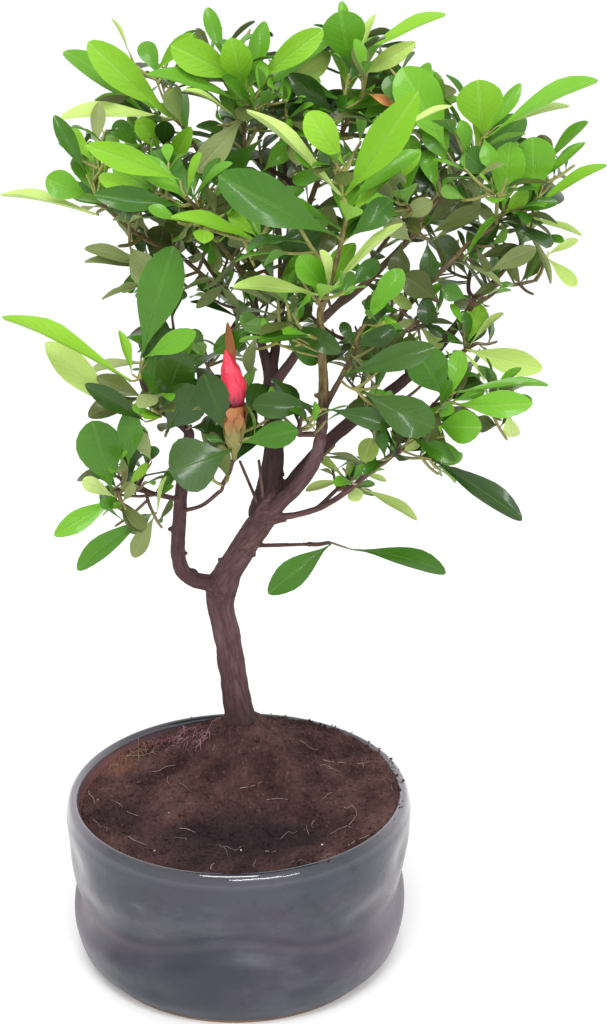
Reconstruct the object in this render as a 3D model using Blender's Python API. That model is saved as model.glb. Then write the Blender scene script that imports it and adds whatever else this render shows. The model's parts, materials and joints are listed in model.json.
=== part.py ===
"""Small azalea tree, trained as a bonsai, in its glazed round pot.

Z is up, X is to the right and Y runs away from the front. The origin is on the
pot's flat underside, in the middle. Sizes are in millimetres; MM turns them
into Blender's metres.

The plant is worked out by one rule. Limbs are tapering tubes that start on
their parent and pass a few named bends. Every mass of foliage grows from one
limb's tip: a stem, its shoots, and round each shoot's end a whorl of leaves
that turns by the golden angle. A leaf that would touch another node, leave the
crown's room or cross one of its openings is turned and tried again, or left out.
"""
import math
import random
from collections import Counter, namedtuple

import bmesh
import bpy
from mathutils import Matrix, Vector
from mathutils.bvhtree import BVHTree

MM = 0.001
GAP = 0.3
WELD = 0.0005

# Pot
POT_RIM_RADIUS = 65.0
POT_HEIGHT = 65.0
POT_WALL = 5.8
POT_FLOOR = 7.0
POT_COVE = 7.0
POT_FOOT = (56.0, 0.0)
POT_HEEL = (61.0, 5.5)
POT_BULGE = (63.2, 15.0)
POT_GROOVE = (61.3, 23.0)
POT_SHOULDER = (64.6, 42.0)
POT_LIP_RISE = 7.0
POT_LIP_STEPS = 6
POT_SIDES = 36

# Soil
SOIL_LEVEL = 58.5
SOIL_RISE_RIGHT = 2.5
SOIL_DIP_BACK_LEFT = 2.5
SOIL_MOUND_SPREAD = 21.0
SOIL_FLAT_RADIUS = 9.5
SOIL_RAYS = 32
SOIL_RINGS = (0.0, 0.12, 0.25, 0.42, 0.65, 1.0)

# Trunk foot, on top of the mound
FOOT = Vector((1.0, 22.0, 75.0))
FOOT_FLARE = 3.2
FLARE_REACH = 0.13
FORK_SWELLING = 0.9
KNOT_REACH = 0.06
LIMB_SIDES = 6
TRUNK_SIDES = 12
CUTTER_ROOM = 4.0

# Twigs
STEM_SIDES = 5
TWIG_SIDES = 3
TWIG_RADIUS = 0.85
TWIG_TAPER = 0.25
TWIG_SPANS = 1
STEM_SHARE = 0.35
STEM_FIT = 0.96
STEM_TAPER = 0.15
FORK_LAP = 1.5
SHOOT_BOW = 2.0
SHOOT_SAG = -0.06
SIDE_SHOOT = (14.0, 21.0)
SIDE_SHOOT_FOOT = (0.25, 0.7)
SIDE_SHOOT_RADIUS = 0.9
SIDE_LEAF = 0.88
SIDE_LEAVES_FEWER = 2
MARGIN = 0.35
TRIES = 10
GROWTH_SEED = 14
FIRST_TURNS = 5

# Leaves, as shares of their length
LEAF_WIDTH = 0.42
LEAF_THICKNESS = 0.022
LEAF_ARCH = 0.06
LEAF_FOLD = 0.16
LEAF_WIDEST = 0.52
LEAF_TIP_WIDTH = 0.42

# Whorls
GOLDEN_TURN = math.radians(137.5)
WHORL_OPEN = math.radians(82.0)
WHORL_CLOSE = math.radians(30.0)
WHORL_DEPTH = 6.0
ROOT_SUNK = 1.06
SHOOT_LEAVES = (0.6,)
SHOOT_LEAF_RISE = math.radians(68.0)
SHOOT_LEAF_SHARE = 0.85
STALK_SHARE = 0.1
INNER_SHORTER = 0.4
LENGTH_SPREAD = (0.85, 1.1)
WIDTH_SPREAD = (0.88, 1.12)

# Flower bud
BUD_MASS = "bud_foliage"
BUD_STALK = 15.0
BUD_LENGTH = 21.0
BUD_RADIUS = 4.3
BUD_SIDES = 8
BUD_PROFILE = ((0.0, 0.6), (0.2, 0.95), (0.4, 1.0), (0.65, 0.8), (0.87, 0.42), (1.0, 0.12))

UP = Vector((0.0, 0.0, 1.0))

# A limb starts at a share of its parent's length, passes its bends and ends at
# its tip. Radii are at the foot and at the tip.
Limb = namedtuple("Limb", "parent share bends tip foot_radius tip_radius")

LIMBS = {
    "trunk": Limb(None, 0.0, [(-4, 17, 118), (-6, 13, 139), (3, 8, 159)], (12, 3, 174), 5.4, 4.6),
    "centre_leader": Limb("trunk", 0.97, [(14, 6, 195)], (13, 10, 221), 3.9, 2.2),
    "right_bough": Limb("trunk", 0.95, [(33, 6, 199), (65, 7, 226)], (79, 4, 244), 3.0, 1.5),
    "front_bough": Limb("trunk", 0.98, [(27, -12, 195), (31, -34, 223)], (30, -50, 255), 2.9, 1.2),
    "left_bough": Limb("trunk", 0.64, [(-19.6, 9, 148.6), (-20, 2, 171)], (-16, -6, 201), 2.9, 1.6),
    "left_leader": Limb("centre_leader", 0.96, [(7.5, 14, 246)], (6, 11, 268), 1.8, 1.2),
    "right_leader": Limb("centre_leader", 0.99, [(16.5, 18, 244)], (21, 25, 280), 1.9, 1.2),
    "right_upper_bough": Limb("centre_leader", 0.93, [(30, 8, 242), (45, 4, 256)], (60, -3, 273), 1.8, 1.1),
    "right_mid_branch": Limb("right_bough", 0.74, [(57, 4, 243)], (76, -5, 268), 1.3, 0.9),
    "right_end_twig": Limb("right_bough", 0.80, [], (78, -3, 234), 0.9, 0.7),
    "right_low_branch": Limb("right_bough", 0.62, [], (66, -18, 219), 1.1, 0.8),
    "top_branch": Limb("right_leader", 0.62, [], (33, 16, 300), 1.2, 0.9),
    "left_side_branch": Limb("left_leader", 0.45, [], (-15.5, 2, 265), 1.1, 0.8),
    "left_front_branch": Limb("left_leader", 0.72, [], (-3, -16, 274), 1.1, 0.8),
    "front_low_branch": Limb("front_bough", 0.52, [], (24, -40, 216), 1.1, 0.9),
    "front_side_branch": Limb("front_bough", 0.64, [], (40, -44, 243), 1.1, 0.8),
    "bud_branch": Limb("left_bough", 0.62, [(-11, -10, 181)], (-4, -28, 192), 1.3, 1.0),
    "left_low_branch": Limb("left_bough", 0.69, [], (-32, -14, 188), 1.1, 0.8),
    "low_right_branch": Limb("trunk", 0.955, [(32, -10, 181)], (53, -27, 204), 1.3, 0.9),
    "inner_low_twig": Limb("low_right_branch", 0.40, [], (37, -5, 186), 0.8, 0.7),
    "low_twig": Limb("trunk", 0.83, [], (24, -6, 165), 0.9, 0.7),
    "bare_twig_left": Limb("trunk", 0.97, [], (2.4, -6, 196), 0.7, 0.5),
    "bare_twig_right": Limb("trunk", 0.98, [], (9, -5, 196), 0.7, 0.5),
    "back_left_branch": Limb("left_leader", 0.30, [], (-14, 38, 262), 1.1, 0.8),
    "back_branch": Limb("right_leader", 0.40, [], (16, 46, 266), 1.1, 0.8),
    "back_right_branch": Limb("right_upper_bough", 0.50, [], (56, 36, 268), 1.1, 0.8),
    "back_low_branch": Limb("right_bough", 0.50, [], (48, 36, 222), 1.1, 0.8),
    "back_low_left_branch": Limb("centre_leader", 0.55, [], (-8, 32, 216), 1.1, 0.8),
}

# A mass grows from its limb's tip. Shoots lists where its named shoots end,
# tips the furthest leaf tips, leaf the length of a full leaf, leaves how many
# stand in a whorl, and side how many short side shoots it has.
Mass = namedtuple("Mass", "limb shoots tips leaf leaves side")
Leaf = namedtuple("Leaf", "root tip face width")

MASSES = {
    "front_crown": Mass("front_bough", [(38, -62, 292), (30, -56, 266)],
                        [(59, -84, 329), (1, -74, 305), (3, -64, 269), (53, -62, 286)], 33, 8, 1),
    "left_front_foliage": Mass("left_front_branch", [(-12, -40, 293), (-8, -14, 284)],
                               [(-40, -58, 310), (-36, -66, 298)], 32, 8, 1),
    "left_side_foliage": Mass("left_side_branch", [(-43, -12, 288), (-32, 18, 262)],
                              [(-71, -24, 291, 0.3), (-57, -16, 298), (-56, -10, 313), (-48, -6, 274)], 31, 8, 1),
    "left_crown": Mass("left_leader", [(5, 5, 314), (-17, 10, 310)],
                       [(-7, 6, 347), (30, 0, 341), (-18, -6, 338), (-54, 8, 333), (-43, -10, 337),
                        (-52, 0, 315), (12, 10, 345)], 33, 8, 1),
    "top_foliage": Mass("top_branch", [(39, 10, 322), (60, 28, 309)],
                        [(33, -8, 346), (38, 10, 348), (71, 14, 345), (64, 22, 338)], 32, 8, 1),
    "back_crown": Mass("right_leader", [(20, 36, 315), (2, 34, 300)],
                       [(34, 40, 331), (19, 30, 323)], 32, 8, 1),
    "right_upper_foliage": Mass("right_upper_bough", [(81, -12, 304), (57, -10, 288)],
                                [(79, -26, 327), (116, -22, 327), (92, -10, 329)], 33, 8, 1),
    "right_middle_foliage": Mass("right_mid_branch", [(92, -10, 286)],
                                 [(122, -16, 299), (118, 4, 311), (99, -30, 309)], 30, 8, 1),
    "right_outer_foliage": Mass("right_bough", [(100, 0, 274), (84, 26, 258)],
                                [(117, -4, 274), (117, 6, 255), (107, -14, 260)], 25, 8, 1),
    "right_end_foliage": Mass("right_end_twig", [(84, -5, 238)],
                              [(107, -6, 228), (92, -4, 248)], 22, 6, 0),
    "right_low_foliage": Mass("right_low_branch", [(72, -30, 226)],
                              [(99, -42, 227), (81, -48, 215), (106, -22, 232)], 27, 8, 0),
    "right_drop_foliage": Mass("low_right_branch", [(57, -32, 209)],
                               [(96, -50, 190), (66, -56, 220)], 25, 6, 0),
    "inner_low_foliage": Mass("inner_low_twig", [(41, -4, 189)],
                              [(64, -14, 178), (25, 4, 181)], 19, 6, 0),
    "low_twig_foliage": Mass("low_twig", [(34, -12, 168)],
                             [(12, -22, 153), (74, -22, 162)], 20, 2, 0),
    "front_low_foliage": Mass("front_low_branch", [(24, -46, 224)],
                              [(6, -58, 218), (53, -52, 222), (67, -44, 222)], 30, 8, 0),
    "front_side_foliage": Mass("front_side_branch", [(45, -50, 256)],
                               [(53, -56, 271), (36, -58, 265), (65, -48, 247), (66, -44, 243)], 22, 6, 0),
    "bud_foliage": Mass("bud_branch", [(2, -42, 209)],
                        [(-9, -62, 202, 0.75), (20, -56, 219)], 27, 8, 0),
    "left_low_crown": Mass("left_bough", [(-29, -30, 232), (-17, -10, 230)],
                           [(-70, -46, 256, 0.3), (-61, -22, 241), (-22, -26, 275), (-10, -44, 252), (-41, -44, 234)], 29, 8, 1),
    "left_hanging_foliage": Mass("left_low_branch", [(-40, -22, 191), (-29, -8, 198)],
                                 [(-45, -30, 217, 0.62), (-59, -28, 176), (-52, -34, 166), (-33, -20, 165),
                                  (-38, -10, 217)], 23, 5, 0),
    "back_left_foliage": Mass("back_left_branch", [(-34, 50, 280), (-8, 62, 290)], [], 28, 8, 1),
    "back_foliage": Mass("back_branch", [(14, 70, 282), (34, 62, 304)], [], 28, 8, 1),
    "back_right_foliage": Mass("back_right_branch", [(64, 60, 284), (90, 40, 294)], [], 28, 8, 1),
    "back_low_foliage": Mass("back_low_branch", [(54, 54, 238), (26, 50, 236)], [], 27, 8, 0),
    "back_low_left_foliage": Mass("back_low_left_branch", [(-24, 42, 232), (4, 52, 240)], [], 27, 8, 0),
}


# Room that the crown's leaves keep to, as round spaces: middle and half sizes.
LOBES = {
    "main crown": ((24, 0, 286), (90, 82, 60)),
    "low left": ((-32, -22, 214), (34, 40, 46)),
    "low middle": ((20, -42, 228), (38, 30, 26)),
    "low right": ((66, -24, 216), (44, 42, 28)),
    "lowest": ((44, -14, 186), (24, 22, 20)),
    "low back": ((18, 46, 236), (66, 40, 30)),
}

# Where one sees the sky through the crown from the front: X and Z at its middle,
# and the radius. No leaf crosses the line of sight there.
EYE = Vector((25.0, -560.0, 372.0))
OPENINGS = {
    "over the left fork": (-4, 173, 11),
    "under the low right branch": (42, 172, 9),
    "right of the low branches": (62, 186, 7),
    "beside the tall left leaf": (-8, 246, 7),
    "left of the tall left leaf": (-48, 245, 8),
    "under the left side leaves": (-68, 266, 13),
    "inside the right boughs": (40, 245, 5),
    "under the right upper leaves": (60, 247, 5),
    "over the right end leaves": (100, 244, 9),
    "over the hanging leaves": (-30, 191, 4),
    "left of the low leaves": (-66, 209, 9),
    "under the low right leaves": (98, 176, 16),
    "left of the top": (-62, 324, 10),
    "between the two tops": (22, 349, 8),
    "right of the top": (86, 338, 13),
}


def millimetres(point):
    """Place of a point in Blender's metres."""
    return Vector(point) * MM


def curve_through(knots, spans):
    """Smooth curve that passes all the knots, in so many spans between each two."""
    knots = [Vector(knot) for knot in knots]
    ends = [2 * knots[0] - knots[1], *knots, 2 * knots[-1] - knots[-2]]
    path = []
    for a, b, c, d in zip(ends, ends[1:], ends[2:], ends[3:]):
        for span in range(spans):
            t = span / spans
            first = (c - a) * (0.5 * t)
            second = (a - 2.5 * b + 2 * c - 0.5 * d) * t**2
            third = (1.5 * (b - c) + 0.5 * (d - a)) * t**3
            path.append(b + first + second + third)
    path.append(knots[-1])
    return path


def path_length(path):
    """Length of a path."""
    return sum((b - a).length for a, b in zip(path, path[1:]))


def shares_of(path):
    """Share of the path's length at each of its points."""
    run = [0.0]
    for a, b in zip(path, path[1:]):
        run.append(run[-1] + (b - a).length)
    return [length / run[-1] for length in run]


def place_on(path, share):
    """Point and direction at a share of the path's length."""
    shares = shares_of(path)
    for a, b, low, high in zip(path, path[1:], shares, shares[1:]):
        if share <= high:
            return a.lerp(b, (share - low) / (high - low)), (b - a).normalized()
    return path[-1], (path[-1] - path[-2]).normalized()


def before_end(path, distance):
    """Point on a path at a distance before its end."""
    return place_on(path, 1 - distance / path_length(path))[0]


def tube(path, radii, sides, heading=None):
    """Closed tube round a path, as its points and its triangles. A heading squares its first end."""
    points = []
    faces = []
    last = len(path) - 1
    across = (path[1] - path[0]).orthogonal()
    for k, (centre, radius) in enumerate(zip(path, radii)):
        along = (path[min(k + 1, last)] - path[max(k - 1, 0)]).normalized()
        if heading and k == 0:
            along = heading
        across = (across - across.project(along)).normalized()
        other = along.cross(across)
        for side in range(sides):
            turn = 2 * math.pi * side / sides
            points.append(centre + (across * math.cos(turn) + other * math.sin(turn)) * radius)
    for k in range(last):
        for side in range(sides):
            a = k * sides + side
            b = k * sides + (side + 1) % sides
            faces += [(a, b, b + sides), (a, b + sides, a + sides)]
    top = last * sides
    for side in range(1, sides - 1):
        faces.append((0, side + 1, side))
        faces.append((top, top + side, top + side + 1))
    return points, faces


def limb_path(name, paths):
    """Centre line of a limb, from its place on its parent to its tip."""
    limb = LIMBS[name]
    foot = place_on(paths[limb.parent], limb.share)[0] if limb.parent else FOOT
    spans = 3 if limb.bends else 2
    return curve_through([foot, *limb.bends, limb.tip], spans)


def limb_radii(name, path):
    """Radius at each point of a limb: a taper, and on the trunk its root flare and the knot at its fork."""
    limb = LIMBS[name]
    radii = []
    for share in shares_of(path):
        radius = limb.foot_radius + (limb.tip_radius - limb.foot_radius) * share
        if name == "trunk":
            radius += FOOT_FLARE * math.exp(-((share / FLARE_REACH) ** 2))
            radius += FORK_SWELLING * math.exp(-(((share - LIMBS["left_bough"].share) / KNOT_REACH) ** 2))
        radii.append(radius)
    return radii


def leaf_blade(leaf, margin=0.0, stalk=0.0):
    """Closed blade of a leaf: a point at the root, its widest place with a keel below, and a blunt tip.

    A test adds a margin all round, and leaves out a share of the length at the stalk.
    """
    length = (leaf.tip - leaf.root).length
    along = (leaf.tip - leaf.root) / length
    side = along.cross(leaf.face)
    half = 0.5 * leaf.width + margin
    bow = 4 * LEAF_WIDEST * (1 - LEAF_WIDEST) * LEAF_ARCH * length
    middle = leaf.root.lerp(leaf.tip, LEAF_WIDEST) + leaf.face * bow
    edge = middle + leaf.face * (LEAF_FOLD * half + margin)
    keel = middle - leaf.face * (LEAF_THICKNESS * length + margin)
    blunt = side * half * LEAF_TIP_WIDTH
    tip = leaf.tip + along * margin
    points = [leaf.root.lerp(leaf.tip, stalk), edge - side * half, edge + side * half, keel, tip - blunt, tip + blunt]
    faces = [(0, 1, 2), (0, 2, 3), (0, 3, 1), (1, 4, 5), (1, 5, 2), (3, 2, 5), (3, 5, 4), (3, 4, 1)]
    return points, faces


def search_tree(shapes):
    """Search tree over many shapes, to find what touches them."""
    points = []
    faces = []
    for shape_points, shape_faces in shapes:
        start = len(points)
        points += shape_points
        faces += [tuple(start + corner for corner in face) for face in shape_faces]
    return BVHTree.FromPolygons(points, faces)


def is_clear(shape, tree):
    """True where a shape touches nothing in the tree."""
    return not BVHTree.FromPolygons(*shape).overlap(tree)


def twig(start, end, bow, radius):
    """Path and radii of a twig that bows between its ends."""
    path = curve_through([start, start.lerp(end, 0.5) + bow, end], TWIG_SPANS)
    radii = [radius * (1 - TWIG_TAPER * share) for share in shares_of(path)]
    return path, radii


def chance(name, stage):
    """Random numbers for one stage of a mass's growth, the same each time."""
    return random.Random(f"{name} {stage} {GROWTH_SEED}")


def random_across(rng, axis, low, high):
    """Chance vector square to an axis, with a length between two sizes."""
    across = axis.orthogonal().normalized()
    turned = Matrix.Rotation(rng.uniform(0, 2 * math.pi), 3, axis) @ across
    return turned * rng.uniform(low, high)


def grow_twigs(name, limb_paths, tree):
    """Stem and shoots of a mass. Returns their paths and radii, and the shoots that end in a whorl."""
    mass = MASSES[name]
    rng = chance(name, "twigs")
    tip, heading = place_on(limb_paths[mass.limb], 1.0)
    start = tip + heading * GAP
    ends = [Vector(end) for end in mass.shoots]
    middle = sum(ends, Vector()) / len(ends)
    fork = start + (middle - start) * STEM_SHARE
    stem_path = curve_through([start, start + heading * (fork - start).length * 0.5, fork], 2)
    stem_radius = LIMBS[mass.limb].tip_radius * STEM_FIT
    twigs = [(stem_path, [stem_radius * (1 - STEM_TAPER * share) for share in shares_of(stem_path)], STEM_SIDES)]
    shoots = []
    inside = fork - (stem_path[-1] - stem_path[-2]).normalized() * FORK_LAP
    for end in ends:
        for attempt in range(TRIES):
            axis = (end - inside).normalized()
            bow = random_across(rng, axis, 0.0, SHOOT_BOW + attempt) + UP * SHOOT_SAG * (end - inside).length
            path, radii = twig(inside, end, bow, TWIG_RADIUS)
            tested = tube(path[1:], [radius + MARGIN for radius in radii[1:]], TWIG_SIDES)
            if is_clear(tested, tree):
                twigs.append((path, radii, TWIG_SIDES))
                shoots.append((path, mass.leaf, mass.leaves))
                break
    named = list(shoots)
    for number in range(mass.side if named else 0):
        parent = named[number % len(named)][0]
        for attempt in range(TRIES):
            foot, along = place_on(parent, rng.uniform(*SIDE_SHOOT_FOOT))
            outward = random_across(rng, along, 1.0, 1.0) + along * 0.7 + UP * 0.25
            end = foot + outward.normalized() * rng.uniform(*SIDE_SHOOT)
            path, radii = twig(foot, end, -UP, TWIG_RADIUS * SIDE_SHOOT_RADIUS)
            tested = tube(path, [radius + MARGIN for radius in radii], TWIG_SIDES)
            if is_clear(tested, tree):
                twigs.append((path, radii, TWIG_SIDES))
                shoots.append((path, mass.leaf * SIDE_LEAF, mass.leaves - SIDE_LEAVES_FEWER))
                break
    return twigs, shoots


def leaf_towards(root, tip, axis, width, roll=0.0):
    """Leaf between two points, its upper face turned to the shoot it stands on."""
    along = (tip - root).normalized()
    face = axis - along * axis.dot(along)
    if face.length < 0.2:
        face = UP - along * UP.dot(along)
    face.normalize()
    if roll:
        face = Matrix.Rotation(roll, 3, along) @ face
    return Leaf(root, tip, face, width * (tip - root).length)


def in_room(leaf):
    """True where a leaf stays in the crown's room and crosses none of its openings."""
    side = (leaf.tip - leaf.root).cross(leaf.face).normalized() * (0.5 * leaf.width)
    middle = leaf.root.lerp(leaf.tip, LEAF_WIDEST)
    outer = middle.lerp(leaf.tip, 0.6)
    for point in (middle - side, middle + side, outer, leaf.tip):
        for x, z, radius in OPENINGS.values():
            sight = (Vector((x, 0.0, z)) - EYE).normalized()
            if (point - EYE).cross(sight).length < radius:
                return False
    for middle, halves in LOBES.values():
        if sum(((a - b) / half) ** 2 for a, b, half in zip(leaf.tip, middle, halves)) < 1:
            return True
    return False


class Foliage:
    """Leaves of one mass, and the tests that keep each clear of the rest."""

    def __init__(self, outside, twigs, leaves=()):
        self.outside = outside
        self.twigs = twigs
        self.leaves = list(leaves)
        self.inside = self.inner_tree()

    def inner_tree(self):
        """Search tree over the mass's own twigs and blades."""
        return search_tree(self.twigs + [leaf_blade(leaf, 0.0, STALK_SHARE) for leaf in self.leaves])

    def add(self, leaf):
        """Take a leaf that touches nothing, and say whether it was taken."""
        if not is_clear(leaf_blade(leaf, MARGIN), self.outside):
            return False
        if not is_clear(leaf_blade(leaf, 0.1, STALK_SHARE), self.inside):
            return False
        self.leaves.append(leaf)
        self.inside = self.inner_tree()
        return True


def grow_named_leaves(name, shoots, twigs, outside):
    """Leaves that reach a mass's furthest tips, from the nearest shoot's end."""
    mass = MASSES[name]
    rng = chance(name, "furthest leaves")
    foliage = Foliage(outside, twigs)
    for x, y, z, *own_width in mass.tips:
        tip = Vector((x, y, z))
        usual_width = own_width[0] if own_width else LEAF_WIDTH
        path = min(shoots, key=lambda shoot: (shoot[0][-1] - tip).length)[0]
        end, axis = place_on(path, 1.0)
        root = before_end(path, ROOT_SUNK + 0.5 * WHORL_DEPTH * rng.random())
        for attempt in range(TRIES):
            width = usual_width * rng.uniform(0.85, 1.08) * (1 - 0.05 * attempt)
            leaf = leaf_towards(root, tip, (axis + UP).normalized(), width, rng.uniform(-0.6, 0.6))
            if foliage.add(leaf):
                break
    return foliage.leaves


def grow_whorls(name, shoots, twigs, leaves, outside):
    """Whorls at a mass's shoot ends and the leaves below them, placed by the golden angle."""
    rng = chance(name, "whorls")
    foliage = Foliage(outside, twigs, leaves)
    for shoot in shoots:
        tries = [whorl_on(shoot, rng, foliage) for trial in range(FIRST_TURNS)]
        foliage = max(tries, key=lambda tried: len(tried.leaves))
    return foliage.leaves


def whorl_on(shoot, rng, foliage):
    """The foliage so far with one shoot's whorl added, from a chance first turn."""
    foliage = Foliage(foliage.outside, foliage.twigs, foliage.leaves)
    path, full_length, count = shoot
    axis = place_on(path, 1.0)[1]
    axis = (axis + UP * 0.5).normalized()
    across = axis.orthogonal().normalized()
    turn = rng.uniform(0, 2 * math.pi)
    places = []
    for number in range(count):
        share = number / (count - 1)
        rise = WHORL_OPEN + (WHORL_CLOSE - WHORL_OPEN) * share
        root = before_end(path, ROOT_SUNK + WHORL_DEPTH * (1 - share))
        places.append((root, rise, full_length * (1 - INNER_SHORTER * share)))
    for share in SHOOT_LEAVES if count > 2 else ():
        places.append((place_on(path, share)[0], SHOOT_LEAF_RISE, full_length * SHOOT_LEAF_SHARE))
    for root, open_angle, open_length in places:
        turn += GOLDEN_TURN
        for attempt in range(TRIES):
            swing = turn + rng.uniform(-0.1, 0.1) * (1 + attempt)
            rise = open_angle + rng.uniform(-0.15, 0.15)
            length = open_length * rng.uniform(*LENGTH_SPREAD) * (1 - 0.03 * attempt)
            outward = Matrix.Rotation(swing, 3, axis) @ across
            along = axis * math.cos(rise) + outward * math.sin(rise)
            width = LEAF_WIDTH * rng.uniform(*WIDTH_SPREAD)
            leaf = leaf_towards(root, root + along * length, axis, width, rng.uniform(-0.35, 0.35))
            if in_room(leaf) and foliage.add(leaf):
                break
    return foliage


def bud_shapes():
    """The one flower bud: its scaly stalk, and its closed petals on it."""
    foot = Vector(MASSES[BUD_MASS].shoots[0]) - UP
    tip = foot + UP * (BUD_STALK + BUD_LENGTH)
    body_foot = foot + UP * BUD_STALK
    stalk = [foot.lerp(body_foot, share) for share in (0.0, 0.5, 1.15)]
    body = [body_foot.lerp(tip, share) for share, _ in BUD_PROFILE]
    petals = tube(body, [BUD_RADIUS * size for _, size in BUD_PROFILE], BUD_SIDES)
    return [tube(stalk, [1.2, 1.8, 2.6], STEM_SIDES), petals]


def grow_plant(limb_shapes, limb_paths):
    """Twigs, named leaves and whorls of every mass, each clear of all that other nodes hold."""
    twigs = {}
    shoots = {}
    leaves = {}

    def outside(name):
        """Search tree over the limbs and all that the other masses hold so far."""
        shapes = list(limb_shapes.values()) + bud_shapes()[1:]
        shapes += [shape for other, grown in twigs.items() if other != name for shape in grown]
        shapes += [leaf_blade(leaf) for other, grown in leaves.items() if other != name for leaf in grown]
        return search_tree(shapes)

    for name in MASSES:
        grown, shoots[name] = grow_twigs(name, limb_paths, outside(name))
        twigs[name] = [tube(*parts) for parts in grown]
    for name in MASSES:
        leaves[name] = grow_named_leaves(name, shoots[name], twigs[name], outside(name))
    for name in MASSES:
        leaves[name] = grow_whorls(name, shoots[name], twigs[name], leaves[name], outside(name))
    return twigs, shoots, leaves


# Building the pieces


def finish_of(name, colour, roughness):
    """Plain material with a colour and a roughness."""
    made = bpy.data.materials.new(name)
    made.use_nodes = True
    made.diffuse_color = (*colour, 1.0)
    shader = made.node_tree.nodes["Principled BSDF"]
    shader.inputs["Base Color"].default_value = (*colour, 1.0)
    shader.inputs["Roughness"].default_value = roughness
    shader.inputs["Metallic"].default_value = 0.0
    return made


def mesh_object(name, shape, finish):
    """Object in the scene from points in millimetres and faces, its faces pointing out."""
    points, faces = shape
    mesh = bpy.data.meshes.new(name)
    mesh.from_pydata([millimetres(point) for point in points], [], faces)
    editing = bmesh.new()
    editing.from_mesh(mesh)
    bmesh.ops.recalc_face_normals(editing, faces=editing.faces)
    editing.to_mesh(mesh)
    editing.free()
    mesh.materials.append(finish)
    thing = bpy.data.objects.new(name, mesh)
    bpy.context.scene.collection.objects.link(thing)
    return thing


def keep_main_piece(mesh):
    """Drop the loose scraps and the sealed hollows of a mesh: all but its largest piece."""
    editing = bmesh.new()
    editing.from_mesh(mesh)
    bmesh.ops.remove_doubles(editing, verts=editing.verts, dist=WELD * MM)
    bmesh.ops.dissolve_degenerate(editing, edges=editing.edges, dist=WELD * MM)
    bmesh.ops.triangulate(editing, faces=editing.faces)
    editing.faces.ensure_lookup_table()
    unseen = set(range(len(editing.faces)))
    pieces = []
    while unseen:
        piece = {min(unseen)}
        growing = list(piece)
        while growing:
            for edge in editing.faces[growing.pop()].edges:
                for face in edge.link_faces if len(edge.link_faces) == 2 else ():
                    if face.index not in piece:
                        piece.add(face.index)
                        growing.append(face.index)
        unseen -= piece
        pieces.append(piece)
    pieces.sort(key=len)
    scraps = [editing.faces[index] for piece in pieces[:-1] for index in piece]
    bmesh.ops.delete(editing, geom=scraps, context="FACES")
    editing.to_mesh(mesh)
    editing.free()


def result_of(thing):
    """What an object's modifiers make, as a mesh of one piece."""
    graph = bpy.context.evaluated_depsgraph_get()
    made = bpy.data.meshes.new_from_object(thing.evaluated_get(graph))
    keep_main_piece(made)
    return made


def is_closed(mesh):
    """True where each edge of a mesh lies between two faces."""
    uses = Counter(key for face in mesh.polygons for key in face.edge_keys)
    return all(count == 2 for count in uses.values())


def turned(profile, sides):
    """Solid turned round Z from a profile of radius and height that starts and ends on the axis."""
    points = [Vector((0.0, 0.0, profile[0][1])), Vector((0.0, 0.0, profile[-1][1]))]
    rings = profile[1:-1]
    for radius, height in rings:
        for side in range(sides):
            turn = 2 * math.pi * side / sides
            points.append(Vector((radius * math.cos(turn), radius * math.sin(turn), height)))
    faces = []
    top = 2 + (len(rings) - 1) * sides
    for side in range(sides):
        after = (side + 1) % sides
        faces.append((0, 2 + after, 2 + side))
        faces.append((1, top + side, top + after))
        for ring in range(len(rings) - 1):
            a = 2 + ring * sides + side
            b = 2 + ring * sides + after
            faces += [(a, b, b + sides), (a, b + sides, a + sides)]
    return points, faces


def make_pot():
    """Round pot: a bulge, a groove and a shoulder on its outer wall, a rounded lip and a flat underside."""
    lip_foot = POT_HEIGHT - POT_LIP_RISE
    knots = [POT_FOOT, POT_HEEL, POT_BULGE, POT_GROOVE, POT_SHOULDER, (POT_RIM_RADIUS, lip_foot)]
    outer = curve_through([(radius, 0.0, height) for radius, height in knots], 2)
    profile = [(0.0, 0.0)]
    profile += [(point.x, point.z) for point in outer[:-1]]
    for step in range(POT_LIP_STEPS + 1):
        turn = math.pi * step / POT_LIP_STEPS
        middle = POT_RIM_RADIUS - 0.5 * POT_WALL
        profile.append((middle + 0.5 * POT_WALL * math.cos(turn), lip_foot + POT_LIP_RISE * math.sin(turn)))
    inner = POT_RIM_RADIUS - POT_WALL
    profile.append((inner, POT_FLOOR + POT_COVE))
    profile.append((inner - POT_COVE, POT_FLOOR))
    profile.append((0.0, POT_FLOOR))
    glaze = finish_of("slate glaze", (0.10, 0.11, 0.15), 0.22)
    pot = mesh_object("pot", turned(profile, POT_SIDES), glaze)
    pot.data.shade_smooth()
    pot.data.set_sharp_from_angle(angle=math.radians(40.0))


def soil_height(x, y):
    """Height of the soil's surface, which rises to the right, dips at the back left and mounds at the trunk."""
    right = x / POT_RIM_RADIUS
    back_left = max(0.0, (y - x) / (POT_RIM_RADIUS * math.sqrt(2)))
    level = SOIL_LEVEL + SOIL_RISE_RIGHT * right - SOIL_DIP_BACK_LEFT * back_left
    beyond = max(0.0, math.hypot(x - FOOT.x, y - FOOT.y) - SOIL_FLAT_RADIUS)
    mound = math.exp(-((beyond / SOIL_MOUND_SPREAD) ** 2))
    return level + (FOOT.z - GAP - level) * mound


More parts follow.
